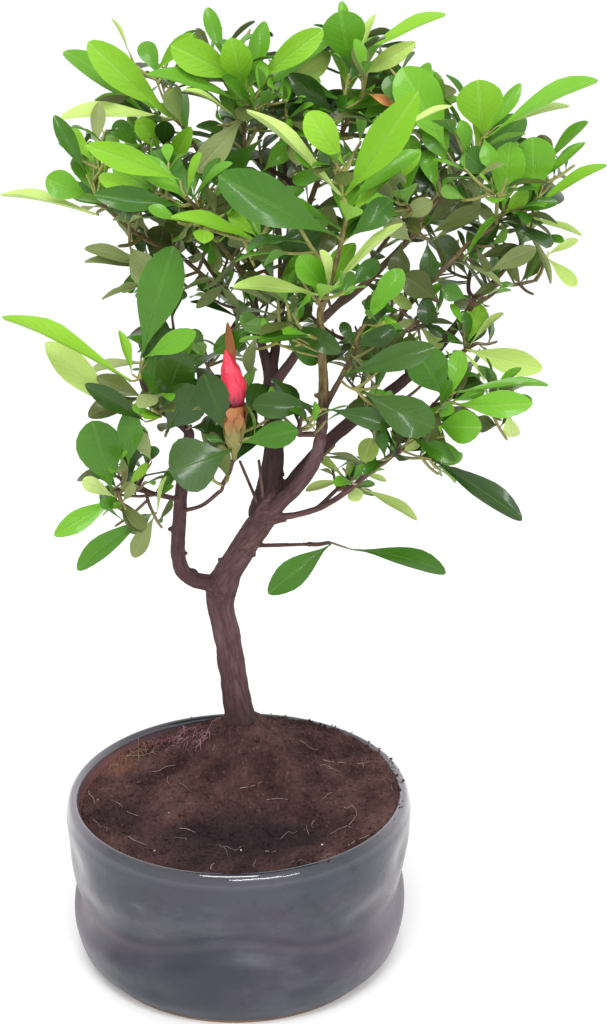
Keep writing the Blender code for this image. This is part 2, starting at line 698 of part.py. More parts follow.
def make_soil():
    """Soil that fills the pot, with a mound that ends flat under the trunk's foot."""
    wall = (POT_RIM_RADIUS - POT_WALL) * math.cos(math.pi / POT_SIDES) - GAP
    points = [Vector((FOOT.x, FOOT.y, soil_height(FOOT.x, FOOT.y)))]
    for share in SOIL_RINGS:
        for ray in range(SOIL_RAYS):
            turn = 2 * math.pi * ray / SOIL_RAYS
            out = Vector((math.cos(turn), math.sin(turn)))
            flat = FOOT.xy + out * SOIL_FLAT_RADIUS
            along = flat.dot(out)
            reach = -along + math.sqrt(along**2 - flat.dot(flat) + wall**2)
            place = flat + out * reach * share
            points.append(Vector((place.x, place.y, soil_height(place.x, place.y))))
    rim = points[-SOIL_RAYS:]
    points += [Vector((point.x, point.y, POT_FLOOR + POT_COVE + GAP)) for point in rim]
    shrink = 1 - POT_COVE / wall
    points += [Vector((point.x * shrink, point.y * shrink, POT_FLOOR + GAP)) for point in rim]
    points.append(Vector((0.0, 0.0, POT_FLOOR + GAP)))
    faces = []
    rings = len(SOIL_RINGS) + 2
    bottom = 1 + (rings - 1) * SOIL_RAYS
    for ray in range(SOIL_RAYS):
        after = (ray + 1) % SOIL_RAYS
        faces.append((0, 1 + ray, 1 + after))
        faces.append((len(points) - 1, bottom + after, bottom + ray))
        for ring in range(rings - 1):
            a = 1 + ring * SOIL_RAYS + ray
            b = 1 + ring * SOIL_RAYS + after
            faces += [(a, a + SOIL_RAYS, b + SOIL_RAYS), (a, b + SOIL_RAYS, b)]
    mesh_object("soil", (points, faces), finish_of("potting soil", (0.045, 0.026, 0.020), 0.95))


def limb_tube(name, path, margin=0.0):
    """Tube of a limb, or the wider and longer one that cuts its neighbours clear of it."""
    sides = TRUNK_SIDES if name == "trunk" else LIMB_SIDES
    wider = margin / math.cos(math.pi / sides)
    radii = [radius + wider for radius in limb_radii(name, path)]
    first = path[0] - (path[1] - path[0]).normalized() * margin
    last = path[-1] + (path[-1] - path[-2]).normalized() * margin
    return tube([first, *path[1:-1], last], radii, sides, UP if name == "trunk" else None)


def nearest(path, other):
    """Least distance between the points of two paths."""
    return min((a - b).length for a in path for b in other)


def make_limbs(paths):
    """Trunk and boughs. Each is cut clear of the limbs before it that it grows from or passes."""
    bark = finish_of("bark", (0.10, 0.055, 0.055), 0.85)
    made = []
    for name, path in paths.items():
        limb = mesh_object(name, limb_tube(name, path), bark)
        cutters = []
        for earlier in made:
            reach = 2 * (LIMBS[name].foot_radius + LIMBS[earlier].foot_radius) + FOOT_FLARE
            if nearest(path, paths[earlier]) > reach + CUTTER_ROOM:
                continue
            cutter = mesh_object(earlier + " cutter", limb_tube(earlier, paths[earlier], GAP), bark)
            cutter.hide_render = True
            cutter.display_type = "WIRE"
            cut = limb.modifiers.new("Clear of " + earlier, "BOOLEAN")
            cut.operation = "DIFFERENCE"
            cut.object = cutter
            cutters.append(cutter)
        if cutters:
            limb.data = result_of(limb)
            limb.modifiers.clear()
        for cutter in cutters:
            bpy.data.objects.remove(cutter)
        limb.data.shade_smooth()
        limb.data.set_sharp_from_angle(angle=math.radians(50.0))
        made.append(name)


def make_mass(name, shapes, finish):
    """One solid from a mass's stem, twigs and leaves, by a Boolean union on a collection."""
    mass = mesh_object(name, shapes[0], finish)
    rest = bpy.data.collections.new(name + " parts")
    bpy.context.scene.collection.children.link(rest)
    for shape in shapes[1:]:
        part = mesh_object(name + " part", shape, finish)
        bpy.context.scene.collection.objects.unlink(part)
        rest.objects.link(part)
    union = mass.modifiers.new("Fuse", "BOOLEAN")
    union.operation = "UNION"
    union.operand_type = "COLLECTION"
    union.collection = rest
    fused = result_of(mass)
    if not is_closed(fused):
        union.solver = "MANIFOLD"
        fused = result_of(mass)
    mass.modifiers.clear()
    mass.data = fused
    for part in list(rest.objects):
        bpy.data.objects.remove(part)
    bpy.data.collections.remove(rest)


def make_plant():
    """Limbs and masses of foliage, from the growth rule."""
    paths = {}
    for name in LIMBS:
        paths[name] = limb_path(name, paths)
    make_limbs(paths)
    limb_shapes = {name: limb_tube(name, path) for name, path in paths.items()}
    twigs, shoots, leaves = grow_plant(limb_shapes, paths)
    green = finish_of("leaf green", (0.13, 0.36, 0.04), 0.4)
    for name in MASSES:
        shapes = twigs[name] + [leaf_blade(leaf) for leaf in leaves[name]]
        if name == BUD_MASS:
            shapes += bud_shapes()
        make_mass(name, shapes, green)


for old in list(bpy.data.objects):
    bpy.data.objects.remove(old)
make_pot()
make_soil()
make_plant()
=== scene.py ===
"""Looks of a small azalea, trained as a bonsai, in its round glazed pot.

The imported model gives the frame. The sections follow the plant as it is put
together: pot, soil, trunk and boughs, twigs, leaves and the one flower bud.
Plant sizes are in millimetres, as in the part's source, and MM turns them into
Blender's metres.
"""

import json
import math
import random
from collections import namedtuple

import bmesh
import bpy
from mathutils import Matrix, Vector, noise
from mathutils.bvhtree import BVHTree
from mathutils.kdtree import KDTree

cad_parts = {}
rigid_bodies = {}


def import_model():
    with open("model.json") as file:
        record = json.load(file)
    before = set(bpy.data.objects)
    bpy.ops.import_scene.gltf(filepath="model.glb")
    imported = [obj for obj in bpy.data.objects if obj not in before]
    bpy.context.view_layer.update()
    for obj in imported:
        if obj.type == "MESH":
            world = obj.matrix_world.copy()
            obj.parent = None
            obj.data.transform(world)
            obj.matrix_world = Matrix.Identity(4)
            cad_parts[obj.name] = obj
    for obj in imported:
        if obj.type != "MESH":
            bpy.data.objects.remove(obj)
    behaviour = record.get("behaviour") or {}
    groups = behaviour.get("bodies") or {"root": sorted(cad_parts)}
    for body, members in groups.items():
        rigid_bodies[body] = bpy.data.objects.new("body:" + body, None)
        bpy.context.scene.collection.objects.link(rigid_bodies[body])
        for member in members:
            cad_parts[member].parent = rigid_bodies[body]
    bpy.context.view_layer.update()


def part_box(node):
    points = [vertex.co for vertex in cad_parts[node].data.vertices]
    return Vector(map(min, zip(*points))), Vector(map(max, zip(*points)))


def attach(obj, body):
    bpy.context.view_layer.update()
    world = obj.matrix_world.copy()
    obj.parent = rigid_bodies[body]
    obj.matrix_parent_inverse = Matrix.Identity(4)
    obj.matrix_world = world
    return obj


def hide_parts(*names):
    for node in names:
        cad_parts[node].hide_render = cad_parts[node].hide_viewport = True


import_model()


# Camera, floor and light. The plant is seen from the front and a little above, on a
# plain pale floor in a bright room. One soft lamp hangs overhead, and one more and two
# narrow ones in front give the glaze its highlights.

MM = 0.001
EYE = Vector((24.6, -560.0, 372.4))
VIEW_TILT = math.radians(19.41)
VIEW_LENS = 58.56
FLOOR_SIZE = 30.0
VIEW_AHEAD = Vector((0, math.cos(VIEW_TILT), -math.sin(VIEW_TILT)))
VIEW_UP = Vector((0, math.sin(VIEW_TILT), math.cos(VIEW_TILT)))
FRAME_WIDTH = 607
FRAME_HEIGHT = 1024
SENSOR_SIZE = 36.0
FOCAL = VIEW_LENS / SENSOR_SIZE * FRAME_HEIGHT
ROOM_LIGHT = 1.06
scene = bpy.context.scene
scene.view_settings.view_transform = "Standard"


def seen_at(x, y, depth):
    """Point at a depth that shows at a pixel of the view."""
    across = Vector(((x - 0.5 * FRAME_WIDTH) / FOCAL, 0, 0))
    ray = VIEW_AHEAD + across - VIEW_UP * ((y - 0.5 * FRAME_HEIGHT) / FOCAL)
    return EYE + ray * ((depth - EYE.y) / ray.y)


def add_object(name, data):
    """Object in the scene with some data."""
    thing = bpy.data.objects.new(name, data)
    scene.collection.objects.link(thing)
    return thing


def add_lamp(name, place, target, size, power, colour):
    """Soft rectangular lamp at a place, in metres, that looks at a target."""
    lamp = bpy.data.lights.new(name, "AREA")
    lamp.shape = "RECTANGLE"
    lamp.size, lamp.size_y = size
    lamp.energy = power
    lamp.color = colour
    thing = add_object(name, lamp)
    thing.location = place
    thing.rotation_euler = (Vector(target) - Vector(place)).to_track_quat("-Z", "Y").to_euler()


view = bpy.data.cameras.new("view")
view.lens = VIEW_LENS
view.clip_start = 0.01
camera = add_object("camera", view)
camera.location = EYE * MM
camera.rotation_euler = (math.pi / 2 - VIEW_TILT, 0.0, 0.0)
scene.camera = camera

room = bpy.data.worlds.new("bright room")
room.use_nodes = True
backdrop = room.node_tree.nodes["Background"].inputs
backdrop["Color"].default_value = (1.0, 1.0, 1.0, 1.0)
backdrop["Strength"].default_value = ROOM_LIGHT
scene.world = room
add_lamp("overhead lamp", (-0.05, -0.60, 1.15), (0.0, 0.0, 0.15), (0.55, 0.30), 6.4, (1.0, 0.99, 0.97))
add_lamp("front lamp", (0.35, -1.3, 0.75), (0.02, 0.0, 0.2), (0.8, 0.5), 1.0, (0.97, 0.98, 1.0))
add_lamp("strip lamp", (0.31, -1.3, 0.75), (0.02, 0.0, 0.2), (0.75, 0.05), 3.2, (0.97, 0.98, 1.0))
add_lamp("short strip lamp", (0.93, -1.3, 0.75), (0.02, 0.0, 0.2), (0.29, 0.05), 1.2, (0.97, 0.98, 1.0))


class Wire:
    """A value in a shader, so that the maths between values is plain Python."""

    def __init__(self, tree, socket):
        self.tree = tree
        self.socket = socket

    def maths(self, operation, *values):
        """Math node on some values."""
        return add_node(self.tree, "ShaderNodeMath", {"operation": operation}, dict(enumerate(values)))

    def __add__(self, other):
        return self.maths("ADD", self, other)

    __radd__ = __add__

    def __sub__(self, other):
        return self.maths("SUBTRACT", self, other)

    def __rsub__(self, other):
        return self.maths("SUBTRACT", other, self)

    def __mul__(self, other):
        return self.maths("MULTIPLY", self, other)

    __rmul__ = __mul__

    def __truediv__(self, other):
        return self.maths("DIVIDE", self, other)

    def __pow__(self, other):
        return self.maths("POWER", self, other)

    def __abs__(self):
        return self.maths("ABSOLUTE", self)

    def above(self, low, high):
        """Soft step from 0 at the low value to 1 at the high one."""
        values = {"Value": self, "From Min": low, "From Max": high}
        return add_node(self.tree, "ShaderNodeMapRange", {"interpolation_type": "SMOOTHSTEP"}, values)


def connect(tree, value, socket):
    """Link a wire or an output to a socket, or set the socket's own value."""
    if isinstance(value, Wire):
        tree.links.new(value.socket, socket)
    elif isinstance(value, bpy.types.NodeSocket):
        tree.links.new(value, socket)
    elif isinstance(value, tuple) and len(value) == 3 and socket.type == "RGBA":
        socket.default_value = (*value, 1.0)
    else:
        socket.default_value = value


def add_node(tree, kind, settings=None, values=None, output=0):
    """Node of a kind: its settings first, then the values or links of its sockets."""
    node = tree.nodes.new(kind)
    for setting, value in (settings or {}).items():
        setattr(node, setting, value)
    for socket, value in (values or {}).items():
        connect(tree, value, node.inputs[socket])
    return Wire(tree, node.outputs[output])


class Finish:
    """A material in the making, on one Principled shader."""

    def __init__(self, name, **plain):
        self.material = bpy.data.materials.new(name)
        self.material.use_nodes = True
        self.tree = self.material.node_tree
        self.shader = self.tree.nodes["Principled BSDF"]
        self.give(**plain)

    def give(self, **sockets):
        """Set or link the shader's sockets; an underscore stands for a space."""
        for name, value in sockets.items():
            connect(self.tree, value, self.shader.inputs[name.replace("_", " ")])

    def node(self, kind, settings=None, values=None, output=0):
        """Node of a kind in this material."""
        return add_node(self.tree, kind, settings, values, output)

    def place(self):
        """Object coordinates, in metres."""
        return self.node("ShaderNodeTexCoord", output="Object")

    def parts_of(self, vector):
        """X, Y and Z of a vector."""
        node = self.tree.nodes.new("ShaderNodeSeparateXYZ")
        connect(self.tree, vector, node.inputs[0])
        return [Wire(self.tree, socket) for socket in node.outputs]

    def attribute(self, name, output="Fac"):
        """Attribute of the mesh."""
        return self.node("ShaderNodeAttribute", {"attribute_name": name}, output=output)

    def noise(self, vector, scale, detail=3.0, roughness=0.55):
        """Cloudy noise from 0 to 1."""
        values = {"Vector": vector, "Scale": scale, "Detail": detail, "Roughness": roughness}
        return self.node("ShaderNodeTexNoise", values=values)

    def spots(self, vector, scale):
        """Distance to the nearest of scattered spots."""
        return self.node("ShaderNodeTexVoronoi", values={"Vector": vector, "Scale": scale})

    def stretched(self, vector, scale):
        """Coordinates with a scale of their own along each axis."""
        return self.node("ShaderNodeMapping", values={"Vector": vector, "Scale": scale})

    def mix(self, share, first, second):
        """Blend of two colours."""
        return self.node("ShaderNodeMix", {"data_type": "RGBA"}, {0: share, 6: first, 7: second}, output=2)

    def layered(self, colour, *layers):
        """Colour with others laid over it in turn, each by its share."""
        for share, over in layers:
            colour = self.mix(share, colour, over)
        return colour

    def bump(self, height, depth, strength):
        """Normal from a height and its depth in metres."""
        values = {"Height": height, "Distance": depth, "Strength": strength}
        return self.node("ShaderNodeBump", values=values)


def finish_piece(piece, slot, *nodes, material=None):
    """Give a piece its finish, fix it to the root body and hide the model's parts that it stands for. The
    slot is not used.
    """
    piece.data.name = piece.name
    if material:
        piece.data.materials.clear()
        piece.data.materials.append(material)
    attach(piece, "root")
    if nodes:
        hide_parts(*nodes)


floor_finish = Finish("pale floor", Roughness=0.9)
floor_grain = floor_finish.noise(floor_finish.place(), 3.0)
floor_finish.give(Base_Color=floor_finish.mix(floor_grain, (0.93, 0.93, 0.93), (0.97, 0.97, 0.97)))
floor_mesh = bpy.data.meshes.new("floor")
corner = 0.5 * FLOOR_SIZE
floor_corners = [(-corner, -corner, 0), (corner, -corner, 0), (corner, corner, 0), (-corner, corner, 0)]
floor_mesh.from_pydata(floor_corners, [], [(0, 1, 2, 3)])
floor_mesh.materials.append(floor_finish.material)
floor = add_object("floor", floor_mesh)


# The pot is a round stoneware bowl, turned and then dimpled by hand, with a bulge low
# down and a waist over it, under a thick slate-blue glaze that stops short of its foot.

POT_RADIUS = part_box("pot")[1].x / MM
POT_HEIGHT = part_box("pot")[1].z / MM
POT_WALL = 5.8
POT_FLOOR = 7.0
POT_LIP = 7.0
POT_COVE = 7.0
POT_FOOT_INSET = 3.0
POT_OUTLINE = (
    (56.0, 0.0), (61.0, 5.5), (63.2, 15.0), (61.0, 23.5), (64.6, 42.0), (POT_RADIUS, POT_HEIGHT - POT_LIP),
)
POT_SIDES = 240
OUTLINE_SPANS = 9
LIP_STEPS = 16
LINING_STEPS = 8
POT_WOBBLE = 0.25
Dimple = namedtuple("Dimple", "angle height width depth")
DIMPLES = [
    Dimple(-157, 47, 12, 1.6), Dimple(-146, 33, 9, 1.3), Dimple(-122, 44, 4, 0.9), Dimple(-116, 9, 5, 0.8),
    Dimple(-103, 47, 11, 0.6), Dimple(-84, 50, 9, 0.4), Dimple(-64, 42, 9, 0.9), Dimple(-46, 34, 5, 1.1),
    Dimple(-36, 36, 10, 1.3), Dimple(-20, 48, 10, 1.4), Dimple(-6, 36, 10, 1.2), Dimple(12, 46, 12, 1.3),
    Dimple(33, 34, 12, 1.2), Dimple(54, 46, 12, 1.2), Dimple(77, 35, 12, 1.1), Dimple(98, 46, 12, 1.2),
    Dimple(120, 35, 12, 1.2), Dimple(141, 46, 12, 1.3), Dimple(162, 34, 11, 1.2), Dimple(180, 45, 11, 1.3),
]
DIMPLE_ROUNDNESS = 0.62
GROOVE_HEIGHT = 25.0
GROOVE_DEPTH = 0.9
GROOVE_WIDTH = 4.4
SHOULDER_HEIGHT = 17.0
SHOULDER_DEPTH = 0.5
SHOULDER_WIDTH = 4.0
WAVE_LIFT = 10.5
WAVE_MIDDLE = 19.0


def curve_through(knots, spans):
    """Smooth curve that passes all the knots, in so many spans between each two."""
    knots = [Vector(knot) for knot in knots]
    ends = [2 * knots[0] - knots[1], *knots, 2 * knots[-1] - knots[-2]]
    path = []
    for a, b, c, d in zip(ends, ends[1:], ends[2:], ends[3:]):
        for span in range(spans):
            t = span / spans
            first = (c - a) * (0.5 * t)
            second = (a - 2.5 * b + 2 * c - 0.5 * d) * t**2
            third = (1.5 * (b - c) + 0.5 * (d - a)) * t**3
            path.append(b + first + second + third)
    path.append(knots[-1])
    return path


def faces_out(mesh):
    """Turn a closed mesh's faces so that they point out."""
    editing = bmesh.new()
    editing.from_mesh(mesh)
    bmesh.ops.recalc_face_normals(editing, faces=editing.faces)
    editing.to_mesh(mesh)
    editing.free()


def mesh_piece(name, points, faces):
    """Smooth closed object from points in millimetres and faces."""
    mesh = bpy.data.meshes.new(name)
    mesh.from_pydata([Vector(point) * MM for point in points], [], faces)
    faces_out(mesh)
    mesh.shade_smooth()
    return add_object(name, mesh)


def rings_to_faces(rings, sides):
    """Faces between rings of points that follow a centre point and end at another."""
    faces = []
    last = 1 + (rings - 1) * sides
    for side in range(sides):
        after = (side + 1) % sides
        faces.append((0, 1 + after, 1 + side))
        faces.append((last + side, last + after, 1 + rings * sides))
        for ring in range(rings - 1):
            a = 1 + ring * sides
            faces.append((a + side, a + after, a + sides + after, a + sides + side))
    return faces


def dimple_depth(angle, height):
    """How far the wall is pressed in by its dimples and its groove, less the shoulder under that."""
    pressed = 0.0
    for dimple in DIMPLES:
        turn = (angle - math.radians(dimple.angle) + math.pi) % (2 * math.pi) - math.pi
        across = turn * POT_RADIUS / dimple.width
        up = (height - dimple.height) / (DIMPLE_ROUNDNESS * dimple.width)
        pressed += dimple.depth * math.exp(-(across**2 + up**2))
    pressed += GROOVE_DEPTH * math.exp(-(((height - GROOVE_HEIGHT) / GROOVE_WIDTH) ** 2))
    return pressed - SHOULDER_DEPTH * math.exp(-(((height - SHOULDER_HEIGHT) / SHOULDER_WIDTH) ** 2))


def pot_wall(radius, height, angle, outside):
    """Point on the pot, with its wobble, and on the outer wall its dimples and the waist's rise and fall."""
    rise = height / POT_HEIGHT
    radius += POT_WOBBLE * rise * (math.sin(2 * angle + 0.7) + 0.6 * math.sin(3 * angle + 2.1) - 0.8)
    if outside:
        radius -= dimple_depth(angle, height) * min(1.0, 0.15 * height, 0.2 * (POT_HEIGHT - height))
        wave = 0.5 + 0.5 * math.cos(3 * (angle + math.pi / 2)) + 0.1 * math.sin(7 * angle)
        if height < WAVE_MIDDLE:
            height += WAVE_LIFT * wave * math.sin(0.5 * math.pi * height / WAVE_MIDDLE)
        else:
            over = min(1.0, (height - WAVE_MIDDLE) / (POT_HEIGHT - POT_LIP - WAVE_MIDDLE))
            height += WAVE_LIFT * wave * math.cos(0.5 * math.pi * over)
    return radius * math.cos(angle), radius * math.sin(angle), height


pot_profile = [(POT_OUTLINE[0][0] - POT_FOOT_INSET, 0.0, False)]
outline_knots = [(radius, 0, height) for radius, height in POT_OUTLINE]
for radius, _, height in curve_through(outline_knots, OUTLINE_SPANS):
    pot_profile.append((radius, height, True))
lip_middle = POT_RADIUS - 0.5 * POT_WALL
lip_foot = POT_HEIGHT - POT_LIP
for step in range(1, LIP_STEPS + 1):
    turn = math.pi * step / LIP_STEPS
    reach = 0.5 * POT_WALL * math.cos(turn)
    pot_profile.append((lip_middle + reach, lip_foot + POT_LIP * math.sin(turn), False))
inner_radius = POT_RADIUS - POT_WALL
lining_height = POT_FLOOR + POT_COVE - lip_foot
for step in range(1, LINING_STEPS + 1):
    pot_profile.append((inner_radius, lip_foot + lining_height * step / LINING_STEPS, False))
pot_profile.append((inner_radius - POT_COVE, POT_FLOOR, False))
pot_points = [(0.0, 0.0, 0.0)]
for radius, height, outside in pot_profile:
    for side in range(POT_SIDES):
        pot_points.append(pot_wall(radius, height, 2 * math.pi * side / POT_SIDES, outside))
pot_points.append((0.0, 0.0, POT_FLOOR))
pot = mesh_piece("glazed_pot", pot_points, rings_to_faces(len(pot_profile), POT_SIDES))
pot.data.set_sharp_from_angle(angle=math.radians(50))

glaze = Finish("slate glaze", Coat_Roughness=0.05, Specular_IOR_Level=0.54)
pot_place = glaze.place()
pot_x, pot_y, pot_z = glaze.parts_of(pot_place)
clouds = glaze.noise(pot_place, 26.0, 4.0).above(0.36, 0.68)
bands = glaze.noise(glaze.stretched(pot_place, (14.0, 14.0, 60.0)), 1.0)
blotches = glaze.noise(pot_place, 75.0).above(0.60, 0.72)
freckles = 1 - glaze.spots(pot_place, 260.0).above(0.05, 0.22)
milky = glaze.noise(glaze.stretched(pot_place, (22.0, 22.0, 45.0)), 1.0, 4.0, 0.7)
from_axis = (pot_x ** 2 + pot_y ** 2) ** 0.5
lining = (1 - from_axis.above(0.0588, 0.0606)) * pot_z.above(0.010, 0.012)
stained = (1 - pot_x.above(-0.050, -0.018)) * (1 - pot_z.above(0.0605, 0.0650))
lip = pot_z.above(0.0590, 0.0625)
# The top of the lip, where painted shade darkens the front and painted reflection lightens the left and
# right.
lip_top = pot_z.above(0.0618, 0.0650)
at_sides = (pot_x ** 2).above(0.0016, 0.0040)
low_sides = (pot_x ** 2).above(0.0012, 0.0042) * (1 - pot_z.above(0.030, 0.052)) * (0.7 + 0.3 * clouds)
low_wall = 1 - pot_z.above(0.030, 0.042)
bare_foot = 1 - pot_z.above(0.0006, 0.0022)
clay = glaze.mix(glaze.noise(pot_place, 220.0), (0.16, 0.10, 0.07), (0.25, 0.17, 0.12))
slate = glaze.layered(
    (0.011, 0.016, 0.030),
    (clouds, (0.034, 0.027, 0.050)),
    (bands.above(0.45, 0.75) * 0.6, (0.028, 0.040, 0.056)),
    (blotches * 0.75, (0.006, 0.007, 0.015)),
    (freckles * 0.5 * glaze.noise(pot_place, 60.0).above(0.5, 0.62), (0.010, 0.012, 0.020)),
    (milky.above(0.50, 0.72) * 0.4, (0.085, 0.085, 0.112)),
    # Painted reflection: the glaze is lighter at the left and right sides as seen from the front, more so low
    # down and on the lip's top there. Painted shade darkens the lip's top at the front.
    (at_sides * 0.4, (0.110, 0.090, 0.118)),
    (low_sides * 0.6, (0.225, 0.192, 0.222)),
    (lip_top * (1 - at_sides) * 0.6, (0.008, 0.007, 0.012)),
    (lip_top * 0.65 * at_sides, (0.185, 0.165, 0.200)),
    # Painted light: the pot's inner wall is lightened against the shade it lies in. A rusty stain lies over
    # it at the left, by the soil.
    (lining * 0.8, (0.115, 0.088, 0.105)),
    (lining * stained * (0.5 + 0.5 * clouds), (0.300, 0.120, 0.100)),
    (bare_foot, clay),
)
peel = glaze.noise(pot_place, 240.0, 2.0) * 0.6 + glaze.noise(pot_place, 90.0, 2.0)
dullness = 0.19 + 0.16 * glaze.noise(pot_place, 38.0).above(0.3, 0.8)
glaze.give(
    Base_Color=slate,
    Roughness=dullness + 0.5 * bare_foot - 0.18 * lip + 0.16 * low_wall,
    Coat_Weight=0.14 + 0.84 * lip - 0.12 * low_wall,
    Normal=glaze.bump(peel, 0.0005, 0.45),
)
finish_piece(pot, "slate_glaze", "pot", material=glaze.material)


# The soil is dark peat mix, pressed in by hand, higher on the right and heaped at the
# trunk, with loose crumbs on it, a few specks of perlite and thin roots that lie about.

SOIL_LEVEL = 61.5
SOIL_RISE = 3.0
SOIL_RISE_TOWARDS = math.radians(25)
SOIL_DIP = 0.8
SOIL_DIP_TOWARDS = math.radians(140)
SOIL_MOUND_SPREAD = 23.0
SOIL_COLLAR_SPREAD = 7.0
SOIL_COLLAR = 0.35
SOIL_TOP = 82.0
SOIL_FLAT_RADIUS = 7.0
FOOT = Vector((1.0, 22.0, 75.0))
SOIL_RINGS = 90
SOIL_SIDES = 220
SOIL_GAP = 0.15
SOIL_BOTTOM = POT_FLOOR + 7.5
ROOT_COUNT = 16
ROOT_STEPS = 6
RIM_CRUMBS = 90
SIGHT_STEPS = 1000.0
SOIL_CEILING = 100.0
UP = Vector((0.0, 0.0, 1.0))


def soil_height(x, y):
    """Height of the soil, which rises to the right, dips at the back left and mounds at the trunk."""
    out = math.hypot(x, y) / POT_RADIUS
    turn = math.atan2(y, x)
    dip = SOIL_DIP * max(0.0, math.cos(turn - SOIL_DIP_TOWARDS)) ** 1.5
    level = SOIL_LEVEL + (SOIL_RISE * math.cos(turn - SOIL_RISE_TOWARDS) - dip) * out
    beyond = max(0.0, math.hypot(x - FOOT.x, y - FOOT.y) - SOIL_FLAT_RADIUS)
    mound = (1 - SOIL_COLLAR) * math.exp(-((beyond / SOIL_MOUND_SPREAD) ** 2))
    collar = SOIL_COLLAR * math.exp(-((beyond / SOIL_COLLAR_SPREAD) ** 2))
    return level + (SOIL_TOP - level) * (mound + collar)


def rough_soil_height(x, y):
    """The soil's surface with its clods and hollows."""
    place = Vector((x, y, 0.0))
    clods = noise.fractal(place * 0.16, 0.9, 2.1, 4) * 1.3
    grain = noise.fractal(place * 0.8 + UP * 7, 0.8, 2.2, 3) * 0.7
    ridges = (0.5 - abs(noise.noise(place * 0.33 + UP * 3))) * 1.3
    return soil_height(x, y) + clods + grain + ridges - 0.6


def inside_pot(height):
    """The pot's inner radius at a height, wider at the rounded lip."""
    into_lip = max(0.0, height - POT_HEIGHT + POT_LIP) / POT_LIP
    return lip_middle - 0.5 * POT_WALL * math.sqrt(max(0.0, 1 - into_lip**2))


soil_wall = inner_radius - SOIL_GAP
soil_turns = [2 * math.pi * side / SOIL_SIDES for side in range(SOIL_SIDES)]
soil_rim = [(soil_wall * math.cos(turn), soil_wall * math.sin(turn)) for turn in soil_turns]
soil_points = [(FOOT.x, FOOT.y, rough_soil_height(FOOT.x, FOOT.y))]
for ring in range(1, SOIL_RINGS + 1):
    share = (ring / SOIL_RINGS) ** 0.85
    for turn, rim_place in zip(soil_turns, soil_rim):
        out = inside_pot(soil_height(*rim_place)) - 0.1
        x = FOOT.x * (1 - share) + out * share * math.cos(turn)
        y = FOOT.y * (1 - share) + out * share * math.sin(turn)
        soil_points.append((x, y, rough_soil_height(x, y)))
soil_points += [(x, y, SOIL_BOTTOM) for x, y in soil_rim]
soil_points.append((0.0, 0.0, SOIL_BOTTOM))
soil = mesh_piece("potting_soil", soil_points, rings_to_faces(SOIL_RINGS + 1, SOIL_SIDES))

peat = Finish("peat", Roughness=0.95, Specular_IOR_Level=0.2)
peat_place = peat.place()
peat_x, peat_y, _ = peat.parts_of(peat_place)
peat_clouds = peat.noise(peat_place, 60.0, 5.0).above(0.3, 0.75)
fibres = peat.noise(peat.stretched(peat_place, (900, 350, 900)), 1.0, 4.0).above(0.55, 0.8)
damp = peat.noise(peat_place, 22.0, 2.0).above(0.5, 0.7)


def peat_patch(x, y, half_x, half_y, ragged):
    """How far out of a ragged round patch of the soil, from 0 in its middle; sizes in metres."""
    return ((peat_x - x) / half_x) ** 2 + ((peat_y - y) / half_y) ** 2 + ragged


# Painted shade: a dark patch on the soil at the front, inside the rim and under the crown.
front_shade = 1 - peat_patch(-0.003, -0.033, 0.040, 0.021, peat.noise(peat_place, 45.0) * 0.8).above(0.6, 1.6)
rusty = 1 - peat_patch(-0.050, 0.026, 0.012, 0.008, peat.noise(peat_place, 140.0) * 1.2).above(0.7, 1.7)
peat_colour = peat.layered(
    (0.030, 0.013, 0.014),
    (peat_clouds, (0.115, 0.058, 0.051)),
    (fibres * 0.7, (0.20, 0.11, 0.092)),
    (damp * 0.5, (0.016, 0.010, 0.014)),
    (front_shade * 0.7, (0.014, 0.008, 0.014)),
    (rusty * 0.7, (0.20, 0.092, 0.062)),
)
peat_relief = peat.noise(peat_place, 900.0, 5.0) + 0.5 * peat.noise(peat_place, 300.0)
peat.give(Base_Color=peat_colour, Normal=peat.bump(peat_relief, 0.0009, 0.9))
finish_piece(soil, "potting_soil", "soil", material=peat.material)


def maker_tree(name, **kinds):
    """Geometry Nodes group with named inputs. Returns it, its inputs' identifiers and their sockets."""
    tree = bpy.data.node_groups.new(name, "GeometryNodeTree")
    tree.is_modifier = True
    identifiers = {}
    for label, kind in kinds.items():
        entry = tree.interface.new_socket(name=label, in_out="INPUT", socket_type="NodeSocket" + kind)
        identifiers[label] = entry.identifier
    tree.interface.new_socket(name="Made", in_out="OUTPUT", socket_type="NodeSocketGeometry")
    return tree, identifiers, tree.nodes.new("NodeGroupInput").outputs


def place_things(tree, entry, values):
    """Put the things of a collection on points, as real faces with a finish, and hand them out."""
    things = add_node(tree, "GeometryNodeCollectionInfo", None, {
        "Collection": entry["Things"], "Separate Children": True, "Reset Children": True})
    placed = add_node(tree, "GeometryNodeInstanceOnPoints", None, {
        "Instance": things, "Pick Instance": True, **values})
    real = add_node(tree, "GeometryNodeRealizeInstances", None, {"Geometry": placed})
    done = add_node(tree, "GeometryNodeSetMaterial", None, {"Geometry": real, "Material": entry["Finish"]})
    connect(tree, done, tree.nodes.new("NodeGroupOutput").inputs["Made"])


def lump(name, seed):
    """Rough crumb of about one unit across."""
    mesh = bpy.data.meshes.new(name)
    shaping = bmesh.new()
    bmesh.ops.create_icosphere(shaping, subdivisions=1, radius=0.5)
    for corner_point in shaping.verts:
        bulge = noise.noise(corner_point.co * 2.3 + Vector((seed, 0, 0)))
        corner_point.co *= 0.75 + 0.5 * bulge + 0.25 * (seed % 2)
        corner_point.co.z *= 0.7
    shaping.to_mesh(mesh)
    shaping.free()
    return bpy.data.objects.new(name, mesh)


